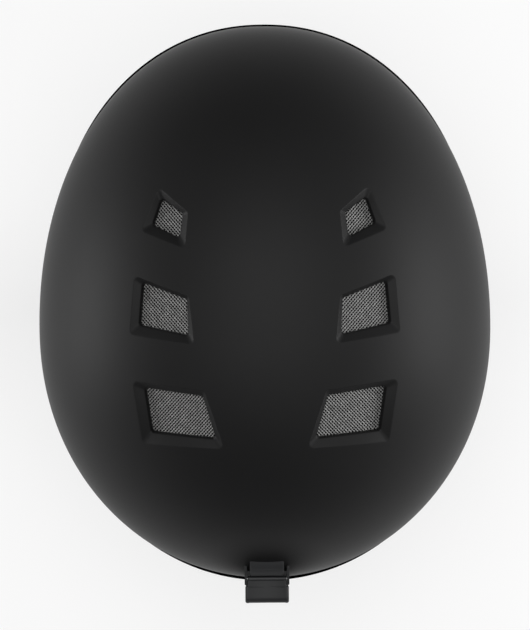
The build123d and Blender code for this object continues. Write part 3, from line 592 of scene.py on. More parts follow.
def build_shell(material):
    """The whole moulded shell as one closed mesh: outer face, six recesses with collars, rim and inner face."""
    count, collar_width = 288, 1.6
    angle = np.arange(count) * 2 * math.pi / count
    way = rim_way(angle)
    rim = np.stack([way * np.cos(angle), way * np.sin(angle)], 1)
    vents = [vent_loops(name, side) for name in VENT_RECESSES for side in SIDES.values()]
    outer_loops = [np.stack(on_map(recess), 1) for recess, _ in vents]
    inner_loops = [np.stack(on_map(grown(recess, collar_width), WALL), 1) for recess, _ in vents]
    flat, triangles, places = fill_map(outer_loops, rim, 2.7, 0.0)
    low_flat, low_triangles, low_places = fill_map(inner_loops, rim, 5.5, 0.3)
    vertices = [skin(*flat.T), skin(*low_flat.T, WALL)]
    normals = [skin_normal(*flat.T), -skin_normal(*low_flat.T, WALL)]
    low_start = len(flat)
    total = low_start + len(low_flat)
    faces = [tuple(t) for t in triangles] + [tuple(t[::-1] + low_start) for t in low_triangles]
    low_places = [[p + low_start for p in place] for place in low_places]
    top, low = places[0], low_places[0]
    for i in range(count):
        j = (i + 1) % count
        faces.append((top[j], top[i], low[i], low[j]))
    profile = recess_profile()
    edge_depth = profile[-1][1]
    for (recess, opening), place, low_place in zip(vents, places[1:], low_places[1:]):
        row_points = [over_plane(recess + (opening - recess) * share, depth) for share, depth in profile[1:]]
        edge_normal = skin_normal(*on_map(opening, edge_depth), edge_depth)
        row_points += [row_points[-1] - edge_normal * drop for drop in (0.5, 1.1, COLLAR_DEPTH - edge_depth)]
        row_points.append(over_plane(grown(recess, collar_width), COLLAR_DEPTH))
        surface = np.array([vertices[0][place], *row_points])
        around = np.roll(surface, -1, 1) - np.roll(surface, 1, 1)
        cross = unit(np.cross(around, np.gradient(surface, axis=0)))
        if (cross[1] * edge_normal).sum() < 0:
            cross = -cross
        rows = [place]
        for points, facing in zip(row_points, cross[1:]):
            vertices.append(points)
            normals.append(facing)
            rows.append(list(range(total, total + len(points))))
            total += len(points)
        rows.append(low_place)
        flip = np.cross(surface[0][1] - surface[0][0], surface[1][0] - surface[0][0]) @ edge_normal[0] > 0
        for upper, lower in zip(rows, rows[1:]):
            for i in range(len(upper)):
                j = (i + 1) % len(upper)
                quad = (upper[i], upper[j], lower[j], lower[i])
                faces.append(quad if flip else quad[::-1])
    node, vertices, normals = ["outer_shell"], np.concatenate(vertices), np.concatenate(normals)
    return new_piece("shell_skin", vertices, faces, material, "helmet", node, normals=normals)


# ---------------- vent meshes

THREAD_SPACING, THREAD_WAVE = 1.2, 0.18
THREAD_ANGLE = math.radians(48)
MESH_DEPTH, SHADE_SHEET_DEPTH = 5.15, 5.62


def thread_run(direction, offset, outline):
    """A straight thread as (x, y) points, and the stretches of it that lie inside an outline."""
    along = np.array([math.cos(THREAD_ANGLE), math.sin(THREAD_ANGLE) * direction])
    across = np.array([-along[1], along[0]])
    middle = outline.mean(0)
    crossing = THREAD_SPACING / math.sin(2 * THREAD_ANGLE)
    steps = np.arange(-60, 61) * crossing / 2
    line = middle + across * offset * THREAD_SPACING + np.outer(steps, along)
    within = inside(line, outline)
    runs, run = [], []
    for k in range(len(line)):
        if within[k]:
            run.append(k)
        if run and (not within[k] or k == len(line) - 1):
            if len(run) > 2:
                runs.append(run)
            run = []
    return line, runs


def build_vent_mesh(name, side, threads, border, shade_sheet):
    """Woven mesh under one vent: stout pale threads one way and fine dark ones the other, over and under."""
    _, opening = vent_loops(name, SIDES[side])
    outline = grown(opening, 2.6)
    node = f"vent_mesh_{name}_{side}"
    sections, most_threads = 6, 26
    lead = SIDES[side] if name == "rear" else -SIDES[side]
    stout, fine = threads
    for direction, radius, material, phase in ((lead, 0.175, stout, 0), (-lead, 0.14, fine, math.pi)):
        vertices, faces = [], []
        for offset in range(-most_threads, most_threads + 1):
            line, runs = thread_run(direction, offset, outline)
            for run in runs:
                u, v = on_map(line[run], MESH_DEPTH)
                up = skin_normal(u, v, MESH_DEPTH)
                rise = THREAD_WAVE * np.cos(math.pi * (np.array(run) + offset) / 2 + phase)
                centre = skin(u, v, MESH_DEPTH) + up * rise[:, None]
                faces += grid_faces(len(run), sections, len(vertices), ends="capped")
                for p, s, n in zip(centre, np.cross(tangents(centre), up), up):
                    vertices += ring(p, s, n, sections, radius * 1.2, radius * 0.85)
        new_piece(f"{material.name}_{name}_{side}", vertices, faces, material, "helmet", [node])
    # Painted shade: a near-black sheet just under the threads, seen in the gaps between them, where the inside
    # of the vent lies in shade.
    flat, triangles, _ = fill_outline(even_loop(outline, 2.0), 2.5)
    painted_shade_backing = over_plane(flat, SHADE_SHEET_DEPTH)
    new_piece(f"mesh_scrim_{name}_{side}", painted_shade_backing, triangles, shade_sheet, "helmet", [node])
    inner, outer = grown(opening, 1.6), grown(opening, 4.2)
    section = ((inner, 5.0), (outer, 5.0), (outer, 5.5), (inner, 5.5))
    vertices = np.concatenate([over_plane(loop, depth) for loop, depth in section])
    new_piece(f"mesh_binding_{name}_{side}", vertices, grid_faces(4, len(inner), ends="joined"), border,
              "helmet", [node], smooth=False)


# ---------------- edge trim

# The trim's section: each point's height over the rim and its distance out from the shell. Compared with
# the sides, the bead's distances change by these shares in front and behind.
TRIM_FRONT, TRIM_BACK = -0.1, 1.3
TRIM_PROFILE = [
    (4.5, 0.02), (4.8, 0.5), (4.7, 1.1), (4.2, 1.6), (3.2, 1.9), (1.6, 2.0), (0.0, 1.95), (-0.9, 1.6),
    (-1.3, 0.9), (-1.4, -1.0), (-1.4, -6.5), (-1.1, -7.6), (-0.4, -7.9), (-0.05, -7.4), (-0.05, -3.0),
    (-0.05, -0.03), (2.0, 0.02),
]


def build_edge_trim(material):
    """The soft trim round the shell's lower edge, swept along the rim. Its bead swells towards the back."""
    count = 360
    angle = np.arange(count) * 2 * math.pi / count
    swell = 1 + np.where(np.sin(angle) > 0, TRIM_BACK, TRIM_FRONT) * np.sin(angle) ** 2
    vertices = []
    for up, out in TRIM_PROFILE:
        way = rim_way(angle, up)
        u, v = way * np.cos(angle), way * np.sin(angle)
        flat = unit(skin_normal(u, v) * np.array([1, 1, 0.0]))
        share = swell if out > 0.1 else np.ones(count)
        vertices.append(skin(u, v) + flat * (out * share)[:, None])
    vertices, faces = np.concatenate(vertices), grid_faces(len(TRIM_PROFILE), count, ends="joined")
    return new_piece("edge_trim", vertices, faces, material, "helmet", ["shell_edge_trim"])


# ---------------- padded pieces

def cap_moves(before, after, most):
    """Points after a simulation, none further than a cap from where it started."""
    move = after - before
    size = np.linalg.norm(move, axis=1, keepdims=True)
    return before + move * np.minimum(1, most / np.maximum(size, 1e-9))


def inflate(mesh, held, most, pressure=2.0, stretch=0.04):
    """Cloth simulation of a closed cover that is full of foam. It runs ten times larger than life, holds
    the seams, and caps how far a point may move, in millimetres."""
    scale, last_frame = 10.0, 20
    start = np.array([v.co[:] for v in mesh.vertices])
    big = mesh.copy()
    big.vertices.foreach_set("co", (start * scale).ravel())
    trial = placed("cover_trial", big)
    trial.vertex_groups.new(name="seam").add([int(i) for i in held], 1.0, "ADD")
    cloth = trial.modifiers.new("cloth", "CLOTH")
    settings = {"quality": 6, "mass": 0.3, "bending_stiffness": 0.2, "use_pressure": True,
                "uniform_pressure_force": pressure, "vertex_group_mass": "seam", "shrink_min": -stretch}
    for key, value in settings.items():
        setattr(cloth.settings, key, value)
    cloth.settings.effector_weights.gravity = 0
    cloth.collision_settings.use_collision = False
    cloth.point_cache.frame_start, cloth.point_cache.frame_end = 1, last_frame
    for step in range(1, last_frame + 1):
        bpy.context.scene.frame_set(step)
    filled = trial.evaluated_get(bpy.context.evaluated_depsgraph_get()).to_mesh()
    after = np.array([v.co[:] for v in filled.vertices]) / scale
    bpy.data.objects.remove(trial)
    bpy.data.meshes.remove(big)
    bpy.context.scene.frame_set(1)
    mesh.vertices.foreach_set("co", cap_moves(start, after, most * MM).ravel())


def finish_padding(piece, held, fill, most, **settings):
    """Blow a cover out by its foam and smooth it. The fill argument is not used."""
    inflate(piece.data, held, most, **settings)
    smooth = piece.modifiers.new("smooth", "SUBSURF")
    smooth.levels = smooth.render_levels = 1


def cushion(name, outline, place, low, high, material, piping, node, spacing=2.2, edge=5.0, channels=(),
            inset=0.9, fill=0.75):
    """A padded piece: two covers that meet in a seam round the outline, blown out by its foam, with piping on
    the seam and stitched channels. place(points) gives surface points and normals, low and high the depths."""
    loop = even_loop(grown(outline, -inset), spacing)
    flat, triangles, margin = fill_outline(loop, spacing)
    base, normal = place(flat)
    middle, half = (low + high) / 2, (high - low) / 2
    bulge = np.sqrt(np.clip(1 - (1 - np.clip(margin / edge, 0, 1)) ** 2, 0, 1))
    rim = margin < 1e-6
    held = set(np.nonzero(rim)[0])
    for start, end in channels:
        near = edge_distance(flat, np.array([start], float), np.array([end], float))
        bulge *= 1 - 0.62 * np.exp(-((near / 1.7) ** 2))
        held |= set(np.nonzero(near < spacing * 0.5)[0])
    top, under = (base + normal * (middle + half * way * 0.9 * bulge)[:, None] for way in (1, -1))
    count = len(flat)
    low_place = np.where(rim, np.arange(count), count + np.cumsum(~rim) - 1)
    faces = [tuple(t) for t in triangles] + [tuple(low_place[t[::-1]]) for t in triangles]
    piece = new_piece(name, np.concatenate([top, under[~rim]]), faces, material, "helmet", [node])
    finish_padding(piece, sorted(held | {int(low_place[i]) for i in held}), fill, 0.8)
    seam = (base + normal * middle)[: len(loop)]
    tube(f"{name}_piping", seam, 0.75, piping, "helmet", closed=True)


def stitches(name, line, up, material, body):
    """A row of separate stitches along a line on a surface, joined in one piece."""
    length, gap, radius, rows, sections = 2.4, 1.2, 0.22, 7, 5
    total = way_along(line)
    vertices, faces = [], []
    for at in np.arange(gap, total[-1] - length, length + gap):
        faces += grid_faces(rows, sections, len(vertices), ends="capped")
        here = at + length * np.arange(rows) / (rows - 1)
        points = points_along(line, here)
        ahead = points_along(line, here + 0.3) - points
        ahead /= np.linalg.norm(ahead, axis=1, keepdims=True) + 1e-9
        normals = np.stack([np.interp(here, total, up[:, k]) for k in range(3)], 1)
        for k, (p, n, side) in enumerate(zip(points, normals, np.cross(ahead, normals))):
            raised = p + n * (math.sin(math.pi * k / (rows - 1)) * radius * 1.6 - radius * 0.6)
            vertices += ring(raised, side, n, sections, radius, radius)
    new_piece(name, vertices, faces, material, body)


def strap(name, line, side, width, thickness, material, body, node, round_start=False, round_end=False):
    """Flat webbing along a line, with rounded selvedges and, where asked, a half-round end. Its UV map is in
    millimetres, across and along."""
    up = np.cross(side[None], tangents(line))
    total = way_along(line)
    half = np.full(len(line), width / 2)
    for wanted, reach in ((round_start, total), (round_end, total[-1] - total)):
        if wanted:
            near = np.clip(width / 2 - reach, 0, width / 2 - 0.15)
            half = np.minimum(half, np.sqrt((width / 2) ** 2 - near**2))
    flat_part = 0.88
    shape = [(c, math.sqrt(max(0, 1 - max(0, (abs(c) - flat_part) / (1 - flat_part)) ** 2)))
             for c in (-1, -0.96, -flat_part, -0.5, 0, 0.5, flat_part, 0.96, 1)]
    loop = shape + [(c, -h) for c, h in shape[-2:0:-1]]
    vertices, flat = [], []
    for p, n, h, at in zip(line, up, half, total):
        for c, level in loop:
            ripple = 0.04 * math.sin(at * 2.1) * level
            vertices.append(p + side * c * h + n * (level * thickness / 2 + ripple * thickness))
            flat.append((c * h, at))
    faces = grid_faces(len(line), len(loop), ends="capped")
    piece = new_piece(name, vertices, faces, material, body, [node])
    uv = piece.data.uv_layers.new(name="strap")
    index = np.empty(len(piece.data.loops), int)
    piece.data.loops.foreach_get("vertex_index", index)
    uv.data.foreach_set("uv", np.array(flat)[index].ravel())
    return piece


# ---------------- ear flaps, cushions and straps

EAR_ORIGIN, EAR_LEAN = np.array([93.0, 12.0, -26.0]), math.radians(8.0)
WEB_WIDTH, WEB_THICKNESS, WEB_GAP = 15.0, 1.2, 0.3
STRAP_TOPS = {"front": (-34, -2), "rear": (58, -12)}
STRAP_FEET = {"front": (-4, -91.6), "rear": (4, -91.6)}
RIVET_Z, CHIN_STRAP_X, CHIN_WIDTH, CHIN_THICKNESS = -100.0, 79.85, 18.0, 1.3
CHIN_CORNER = np.array([28.0, -178.0])
RUN_START = np.array([CHIN_STRAP_X, -112.0])
RUN = unit(CHIN_CORNER - RUN_START)


def on_ear(places):
    """Places of the ear plane, from their y and z in space."""
    places = np.asarray(places, float)
    return np.stack([places[:, 0] - EAR_ORIGIN[1], (places[:, 1] - EAR_ORIGIN[2]) / math.cos(EAR_LEAN)], 1)


def ear_place(side):
    """Points and outward normals of the ear plane on one side."""
    def place(points):
        points = np.asarray(points, float)
        up = np.array([side * math.sin(EAR_LEAN), 0, math.cos(EAR_LEAN)])
        out = np.array([side * math.cos(EAR_LEAN), 0, -math.sin(EAR_LEAN)])
        origin = EAR_ORIGIN * [side, 1, 1]
        base = origin + points[:, :1] * np.array([0, 1.0, 0]) + points[:, 1:] * up
        return base, np.repeat(out[None], len(points), 0)
    return place


def ear_flap_outline():
    """The flap's outline in the ear plane: straight top under the rim and two rounded lower corners."""
    side = rounded_path(on_ear([(-40, -2), (-30, -89.5), (42, -89.5), (62, -2)]), [24, 24], 2.2)
    y = np.linspace(59, -37, 46)
    top = on_ear(np.stack([y, natural_spline(RIM_LINE, y) - 2.6], 1))
    limit = np.where(side[:, 0] < 0, top[-1][1], top[0][1]) - 1.5
    return np.concatenate([side[side[:, 1] < limit], top])


def build_ear(side_name, cloth, lining, binding_cloth, web):
    """One side: the flap, its inner cushion, stitching and the two straps that run between them."""
    place = ear_place(SIDES[side_name])
    outline = ear_flap_outline()
    cushion(f"ear_flap_cover_{side_name}", outline, place, 0.0, 5.0, cloth, binding_cloth,
            f"ear_flap_{side_name}", spacing=2.4, edge=3.5, fill=0.6)
    inner = grown(even_loop(outline, 1.5), -5.0)
    base, normal = place(np.concatenate([inner, inner[:1]]))
    line = base + normal * 4.75
    stitches(f"ear_flap_stitches_{side_name}", line, normal, binding_cloth, "helmet")
    outline = rounded_loop(on_ear([(-32, -30), (-24, -86), (34, -86), (50, -45), (14, -34)]), 10)
    cushion(f"ear_cushion_cover_{side_name}", outline, place, -13.8, -3.3, lining, binding_cloth,
            f"ear_cushion_{side_name}", edge=9.0, inset=1.2, fill=0.8)
    for end, depth in (("front", WEB_GAP), ("rear", 2 * WEB_GAP + WEB_THICKNESS)):
        top, foot = on_ear([STRAP_TOPS[end], STRAP_FEET[end]])
        base, normal = place(np.linspace(top, foot, 60))
        line = base - normal * (depth + WEB_THICKNESS / 2)
        strap(f"{end}_webbing_{side_name}", line, np.cross(unit(line[-1] - line[0]), normal[0]), WEB_WIDTH,
              WEB_THICKNESS, web, "helmet", f"{end}_strap_{side_name}")


def build_chin_strap(web, cover, piping):
    """The chin strap in its two parts and the soft pad that the long one passes through."""
    across = np.array([0, 1.0, 0])
    mirror = np.array([-1, 1])
    top = np.array([CHIN_STRAP_X, RIVET_Z + CHIN_WIDTH / 2])
    housing_end = 20 + 34.35 + 3.8

    def lift(path):
        return np.stack([path[:, 0], np.zeros(len(path)), path[:, 1]], 1)

    def band(side, body, path, **ends):
        return strap(f"chin_webbing_{side}", lift(path), across, CHIN_WIDTH, CHIN_THICKNESS, web, body,
                     f"chin_strap_{side}", **ends)

    band("left", "chin_strap", rounded_path([top, RUN_START, RUN_START + RUN * 27], [7]), round_start=True)
    corners = [RUN_START + RUN * housing_end, CHIN_CORNER]
    corners += [place * mirror for place in (CHIN_CORNER, RUN_START, top)]
    long_strap = band("right", None, rounded_path(corners, [24, 24, 7]), round_end=True)
    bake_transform(long_strap)
    pad_end = CHIN_CORNER - RUN * 12.5
    pad_path = rounded_path([pad_end, CHIN_CORNER, CHIN_CORNER * mirror, pad_end * mirror], [24, 24], 1.4)
    chin_pad_cover(lift(pad_path), across, cover, piping)


def chin_pad_cover(line, across, material, piping):
    """The padded sleeve on the chin strap: a flat tube, full in the middle, with a seam down each side."""
    count, sections = len(line), 28
    vertices = []
    for i, (p, n) in enumerate(zip(line, np.cross(across[None], tangents(line)))):
        share = i / (count - 1)
        end = min(share, 1 - share) * count * 1.4
        full = math.sqrt(max(0.0, 1 - (1 - min(end / 4.0, 1)) ** 2))
        quilt = 1 - sum(0.16 * math.exp(-(((share - at) * count * 1.4 / 2.2) ** 2)) for at in (0.33, 0.67))
        for k in range(sections):
            a = 2 * math.pi * k / sections
            width = 12.6 * np.sign(math.cos(a)) * abs(math.cos(a)) ** 0.55
            height = (1.2 + 2.15 * full * quilt) * np.sign(math.sin(a)) * abs(math.sin(a)) ** 0.8
            vertices.append(p + across * width + n * height)
    faces = grid_faces(count, sections, ends="capped")
    piece = new_piece("chin_pad_cover", vertices, faces, material, "tongue", ["chin_pad"])
    last = (count - 1) * sections
    held = [i * sections + k for i in range(count) for k in (0, sections // 2)]
    held += [*range(sections * 2), *range(last - sections, last + sections)]
    finish_padding(piece, held, 0.6, 0.5, pressure=1.0, stretch=0.02)
    for side, way in (("right", -1), ("left", 1)):
        tube(f"chin_pad_seam_{side}", line + across * 12.5 * way, 0.55, piping, "tongue")


# ---------------- comfort pads

PAD_MIDDLE, PAD_HALF = 30.35, 3.15


def dome_place(first, second, guess):
    """Points and normals of the pads' middle surface, found along a straight view of it."""
    first, second = np.array(first, float), np.array(second, float)

    def place(points):
        points = np.asarray(points, float)
        u, v = guess(points)
        for _ in range(12):
            here = skin(u, v, PAD_MIDDLE)
            du = (skin(u + 0.5, v, PAD_MIDDLE) - here) / 0.5
            dv = (skin(u, v + 0.5, PAD_MIDDLE) - here) / 0.5
            miss_a, miss_b = points[:, 0] - here @ first, points[:, 1] - here @ second
            a, b, c, d = du @ first, dv @ first, du @ second, dv @ second
            det = a * d - b * c
            u = u + np.clip((miss_a * d - miss_b * b) / det, -15, 15)
            v = v + np.clip((a * miss_b - c * miss_a) / det, -15, 15)
        return skin(u, v, PAD_MIDDLE), skin_normal(u, v, PAD_MIDDLE)
    return place


def soft_box(width, height, middle):
    """The outline of a pad: a box with large round corners."""
    corners = [(-1, -1), (1, -1), (1, 1), (-1, 1)]
    return rounded_loop([(middle[0] + width / 2 * a, middle[1] + height / 2 * b) for a, b in corners], 12)


def build_pads(cloth, piping):
    """Brow, nape, crown and side pads, each in its own cover with stitched channels."""
    across, along, upwards = (1, 0, 0), (0, 1, 0), (0, 0, 1)
    far = 140.0
    half_cross = [(15, -51), (15, -7), (32, -7), (32, 23), (15, 23), (15, 67)]
    cross = half_cross + [(-x, y) for x, y in half_cross[::-1]]
    pads = [
        ("brow", "brow_pad", across, upwards, lambda p: (p[:, 0], np.full(len(p), -far)),
         soft_box(128, 30, (0, 31)), [((-22, 20), (-22, 42)), ((22, 20), (22, 42))]),
        ("nape", "nape_pad", across, upwards, lambda p: (p[:, 0], np.full(len(p), far)),
         soft_box(84, 34, (0, 34)), [((0, 22), (0, 46))]),
        ("crown", "crown_pad", across, along, lambda p: (p[:, 0] * 1.1, (p[:, 1] - 12) * 1.1),
         rounded_loop(cross, 8), [((0, -40), (0, 56))]),
    ]
    for side, sign in SIDES.items():
        pads.append((f"side_{side}", f"side_pad_{side}", along, upwards,
                     lambda p, sign=sign: (np.full(len(p), far * sign), p[:, 0] - 12),
                     soft_box(84, 34, (6, 31)), [((6, 19), (6, 43))]))
    for name, node, first, second, guess, outline, channels in pads:
        cushion(f"{name}_cover", outline, dome_place(first, second, guess), -PAD_HALF, PAD_HALF, cloth, piping,
                node, edge=4.5, channels=channels, fill=0.7)


# ---------------- goggle clip

CLIP_PIN, CLIP_BACK, CLIP_HOOK_Z, FLAP_WALL = np.array([136.2, 52.5]), 148.4, 1.2, 2.4
FLAP_HALF, KNUCKLE_HALF, FLAP_NECK = 10.75, 9.6, 3.7
LUG_OUT, LUG_IN, BAR_HALF, TOE_HALF = 11.0, 9.8, 8.4, 8.0
LUG_OUTLINE = [(125, 44), (136.5, 49.3), (138.6, 50.6), (139.4, 52.3), (139.1, 53.9), (138, 54.9), (136, 55.4),
               (131, 56.8), (126, 58.2)]
BAR_OUTLINE = [(124, 48), (134.5, 50), (134.5, 57.4), (131.6, 61.2), (128, 63), (124.8, 63.6), (123.6, 62.8)]
TOE_OUTLINE = [(136, 2.9), (142.3, 2.9), (142.3, 5.9), (136, 5.9)]


def plate_of(outline, start, end, bevel):
    """Vertices and faces of an outline in side view, carried across from one x to another, with eased edges."""
    box = bmesh.new()
    near = [box.verts.new((start, y, z)) for y, z in outline]
    far = [box.verts.new((end, y, z)) for y, z in outline]
    box.faces.new(near)
    box.faces.new(far[::-1])
    for k in range(len(outline)):
        j = (k + 1) % len(outline)
        box.faces.new((near[j], near[k], far[k], far[j]))
    bmesh.ops.bevel(box, geom=box.edges[:], offset=bevel, segments=3, affect="EDGES", clamp_overlap=True)
    bmesh.ops.recalc_face_normals(box, faces=box.faces[:])
    box.verts.index_update()
    vertices = [tuple(v.co) for v in box.verts]
    faces = [tuple(v.index for v in f.verts) for f in box.faces]
    box.free()
    return vertices, faces


def build_clip_base(material):
    """The clip's base: a plate that follows the shell, two hinge lugs, the bar between them and the toe."""
    rows, columns = 30, 13
    vertices = []
    for depth in (-2.2, -0.05):
        for r in range(rows):
            z = -0.6 + 50 * r / (rows - 1)
            for c in range(columns):
                x = (LUG_OUT - 0.05) * (2 * c / (columns - 1) - 1)
                v = 165.0 if z < 8 else 150.0
                for _ in range(12):
                    here, ahead = skin(np.array([x * 1.2] * 2), np.array([v, v + 0.5]), depth)
                    v -= np.clip((here[2] - z) / ((ahead[2] - here[2]) / 0.5), -10, 10)
                here[0] = x
                vertices.append(here)
    half = rows * columns
    faces = grid_faces(rows, columns, 0, closed=False)
    faces += [f[::-1] for f in grid_faces(rows, columns, half, closed=False)]
    border = [r * columns for r in range(rows)] + [(rows - 1) * columns + c for c in range(1, columns)]
    border += [r * columns + columns - 1 for r in range(rows - 2, -1, -1)] + list(range(columns - 2, 0, -1))
    faces += [(a, b, b + half, a + half) for a, b in zip(border, border[1:] + border[:1])]
    for outline, start, end, bevel in (
        (LUG_OUTLINE, LUG_IN, LUG_OUT, 0.25), (LUG_OUTLINE, -LUG_OUT, -LUG_IN, 0.25),
        (BAR_OUTLINE, -BAR_HALF, BAR_HALF, 0.5), (TOE_OUTLINE, -TOE_HALF, TOE_HALF, 0.5),
    ):
        more, sides = plate_of(outline, start, end, bevel)
        faces += [tuple(i + len(vertices) for i in f) for f in sides]
        vertices += more
    node = ["goggle_clip_base"]
    piece = new_piece("clip_base", vertices, faces, material, "helmet", node, smooth=False)
    ease_shading(piece, 35)


def build_clip_flap(material):
    """The flap: a strip with rounded edges that turns on the pin, drops behind the strap and hooks in below."""
    back = CLIP_BACK - FLAP_WALL / 2
    corners = [CLIP_PIN, (back, CLIP_PIN[1] - 1.5), (back, CLIP_HOOK_Z), (139.9, CLIP_HOOK_Z)]
    path = rounded_path(corners, [1.8, 3], 0.5)
    along = tangents(path)
    total = way_along(path)
    width = KNUCKLE_HALF + (FLAP_HALF - KNUCKLE_HALF) * np.clip((total - FLAP_NECK) / 0.3, 0, 1)
    end_share = np.sqrt(np.clip(1 - (1 - np.clip((total[-1] - total) / 0.8, 0, 1)) ** 2, 0.05, 1))
    vertices = []
    for (y, z), (run, rise), w, thin, at in zip(path, along, width, end_share, total):
        half = FLAP_WALL / 2 * thin
        cut = min(0.2 if at < FLAP_NECK else 0.8, half * 0.65)
        shape = [(w, -half + cut), (w, half - cut),
                 (w - 0.2, half - cut * 0.4), (w - cut, half), (w - cut - 0.9, half),
                 (w - cut - 1.2, half - 0.12), (0, half - 0.14)]
        loop = shape + [(-a, b) for a, b in shape[-2::-1]]
        loop += [(a, -half) for a in (0.4 - w, 0, w - 0.4)]
        vertices += [(a, y - rise * b, z + run * b) for a, b in loop]
    faces = grid_faces(len(path), len(loop), ends="capped")
    sections = 24
    faces += grid_faces(4, sections, len(vertices), ends="capped")
    end, eased = KNUCKLE_HALF, KNUCKLE_HALF - 0.2
    for x, r in ((-end, 1.25), (-eased, 1.4), (eased, 1.4), (end, 1.25)):
        vertices += ring(np.array([x, *CLIP_PIN]), np.array([0, 1.0, 0]), np.array([0, 0, 1.0]), sections, r, r)
    node = ["goggle_clip_flap"]
    piece = new_piece("clip_flap_strip", vertices, faces, material, "clip_flap", node)
    ease_shading(piece, 28)


# ---------------- stage

PAGE_MM_PER_PIXEL, FRAME_HEIGHT = 0.5, 630
CAMERA_DISTANCE, SENSOR_MM = 2.0, 24


def set_stage():
    """Camera straight above, turned by the small angle at which the helmet lies in the picture."""
    data = bpy.data.cameras.new("camera")
    camera = placed("camera", data)
    bpy.context.scene.camera = camera
    data.sensor_fit = "VERTICAL"
    data.sensor_height = SENSOR_MM
    data.lens = SENSOR_MM * CAMERA_DISTANCE / (FRAME_HEIGHT * PAGE_MM_PER_PIXEL * MM)
    data.clip_end = 20
    camera.location = (-0.0001, 0.0065, 0.020 + CAMERA_DISTANCE)
    camera.rotation_euler = (0, 0, math.pi - math.radians(0.48))


def area_light(name, place, aim, size, power):
    """A rectangle of soft light that faces a point."""
    data = bpy.data.lights.new(name, "AREA")
    data.shape = "RECTANGLE"
    data.size, data.size_y = size
    data.energy = power
    light = placed(name, data)
    light.location = place
    light.rotation_euler = (Vector(aim) - Vector(place)).to_track_quat("-Z", "Y").to_euler()


def light_scene():
    """A large soft light above, one at each side, a faint one in front and behind, and a dim white world."""
    area_light("above", (0, -0.1, 2.4), (0, 0, 0), (1.2, 1.2), 30)
    for name, place, size, power in (
        ("left", (1.7, 0, 0.14), (0.5, 0.8), 17), ("right", (-1.7, 0, 0.42), (0.7, 0.8), 22),
        ("front", (0, -1.8, 0.6), (1.8, 0.8), 0.3), ("back", (0, 1.8, 0.6), (1.8, 0.8), 0.2),
    ):
        area_light(name, place, (0, 0, 0.02), size, power)
    world = bpy.data.worlds.new("world")
    world.use_nodes = True
    background = world.node_tree.nodes["Background"]
    background.inputs["Color"].default_value = (1.0, 1.0, 1.0, 1)
    background.inputs["Strength"].default_value = 0.14
    bpy.context.scene.world = world
    bpy.context.scene.view_settings.view_transform = "Standard"


def build_floor():
    """A wide pale floor, just under the chin strap when its buckle is let go."""
    add, finish, where = node_material("floor_paper")
    cloud = add("TexNoise", {"Vector": where, "Scale": 3, "Detail": 4}, "Fac")
    tone = ramp(add, cloud, [(0.3, 0.35), (0.7, 0.37)])
    glow = {"Emission Color": (1, 1, 1, 1), "Emission Strength": 0.63}
    material = finish({"Base Color": tone, "Roughness": 0.9, **glow})
    mesh = bpy.data.meshes.new("floor")
    size, level = 6.0, cad_low.z - 0.016
    corners = [(a * size, b * size, level) for a, b in ((-1, -1), (1, -1), (1, 1), (-1, 1))]
    mesh.from_pydata(corners, [], [(0, 1, 2, 3)])
    mesh.materials.append(material)
    floor = placed("floor", mesh)


# ---------------- everything in place

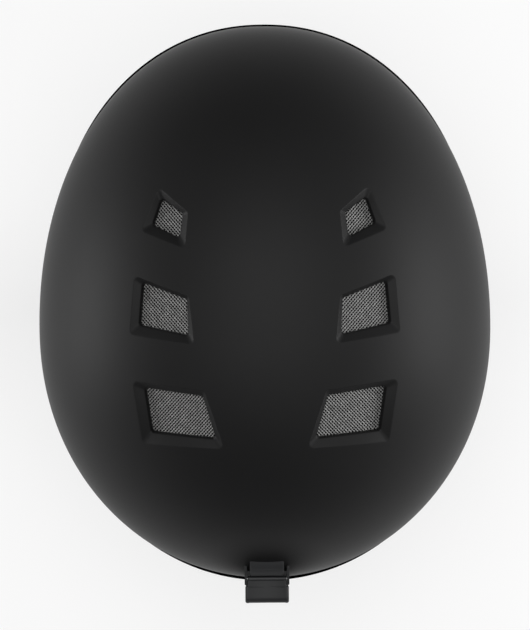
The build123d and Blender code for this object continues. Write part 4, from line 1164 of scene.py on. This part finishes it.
shell = shell_material()
trim_tone, clip_tone = (0.0015, 0.0015, 0.0016), (0.011, 0.0115, 0.0125)
trim_rubber = moulded("trim_rubber", trim_tone, 0.9, grain=900, depth=0.03, specular=0.0, wear=0.0)
thread_tones = {"stout_thread": (0.36, 0.36, 0.355), "fine_thread": (0.24, 0.24, 0.237)}
threads = [thread_material(name, tone) for name, tone in thread_tones.items()]
binding = moulded("mesh_binding", 3 * (0.008,), 0.8, grain=1500, depth=0.05, specular=0.2, wear=0.0)
clip_plastic = moulded("clip_plastic", clip_tone, 0.52, grain=2200, depth=0.03, specular=0.45, wear=0.35)
fit_plastic = moulded("fit_plastic", (0.02, 0.02, 0.021), 0.5, grain=1800, depth=0.02, specular=0.4, wear=0.3)
black_plastic = moulded("hardware_plastic", (0.008, 0.008, 0.0085), 0.42, grain=2400, depth=0.015, wear=0.4)
knob_rubber = moulded("knob_rubber", 3 * (0.012,), 0.68, grain=1500, depth=0.04, specular=0.3, wear=0.2)
cover_cloth = fabric("ear_cloth", (0.018, 0.018, 0.02), thread=0.8)
pad_cloth = fabric("pad_cloth", (0.03, 0.031, 0.033), thread=0.7)
fleece = fabric("fleece", (0.05, 0.05, 0.052), thread=1.2, fuzz=0.85, relief=0.5, sheen=0.6)
piping_cloth = fabric("piping", (0.01, 0.01, 0.01), thread=0.5, relief=0.08, sheen=0.2)
web = webbing("strap_webbing", (0.014, 0.014, 0.015))
bead_foam = foam("bead_foam", (0.02, 0.02, 0.021))
bright_steel = steel("bright_steel")
# Near-black cloth for the sheet under the vent threads: painted shade between the threads.
painted_shade_cloth = fabric("painted_shade_cloth", (0.003, 0.003, 0.003), thread=0.4, relief=0.05, sheen=0.0)
loop_tape = fabric("loop_tape", (0.008, 0.008, 0.008), thread=0.6, fuzz=0.7, relief=0.4)

build_shell(shell)
for vent in VENT_RECESSES:
    for side_name in SIDES:
        build_vent_mesh(vent, side_name, threads, binding, painted_shade_cloth)
build_edge_trim(trim_rubber)
for side_name in SIDES:
    build_ear(side_name, cover_cloth, fleece, piping_cloth, web)
build_chin_strap(web, cover_cloth, piping_cloth)
build_pads(pad_cloth, piping_cloth)
build_clip_base(clip_plastic)
build_clip_flap(clip_plastic)

finishes = [
    (bead_foam, 0, ["eps_liner"]),
    (loop_tape, 0, ["pad_hook_tabs"]),
    (bright_steel, 0.2, ["goggle_clip_pin", "goggle_clip_screws", "clip_nut_plate", "strap_rivet_left",
                         "strap_rivet_right", "dial_screw"]),
    (fit_plastic, 0.2, ["fit_cradle", "dial_cover", "dial_detent_ring", "band_guide_left", "band_guide_right",
                        "fit_band_left", "fit_band_right", "dial_pinion", "strap_anchors", "ear_flap_studs"]),
    (black_plastic, 0.5, ["buckle_housing", "buckle_tongue", "strap_divider_left", "strap_divider_right",
                          "strap_keeper"]),
    (knob_rubber, 0.4, ["dial_knob"]),
]
for finish_material, bevel, nodes in finishes:
    for node in nodes:
        refine(node, finish_material, bevel)

set_stage()
light_scene()
build_floor()
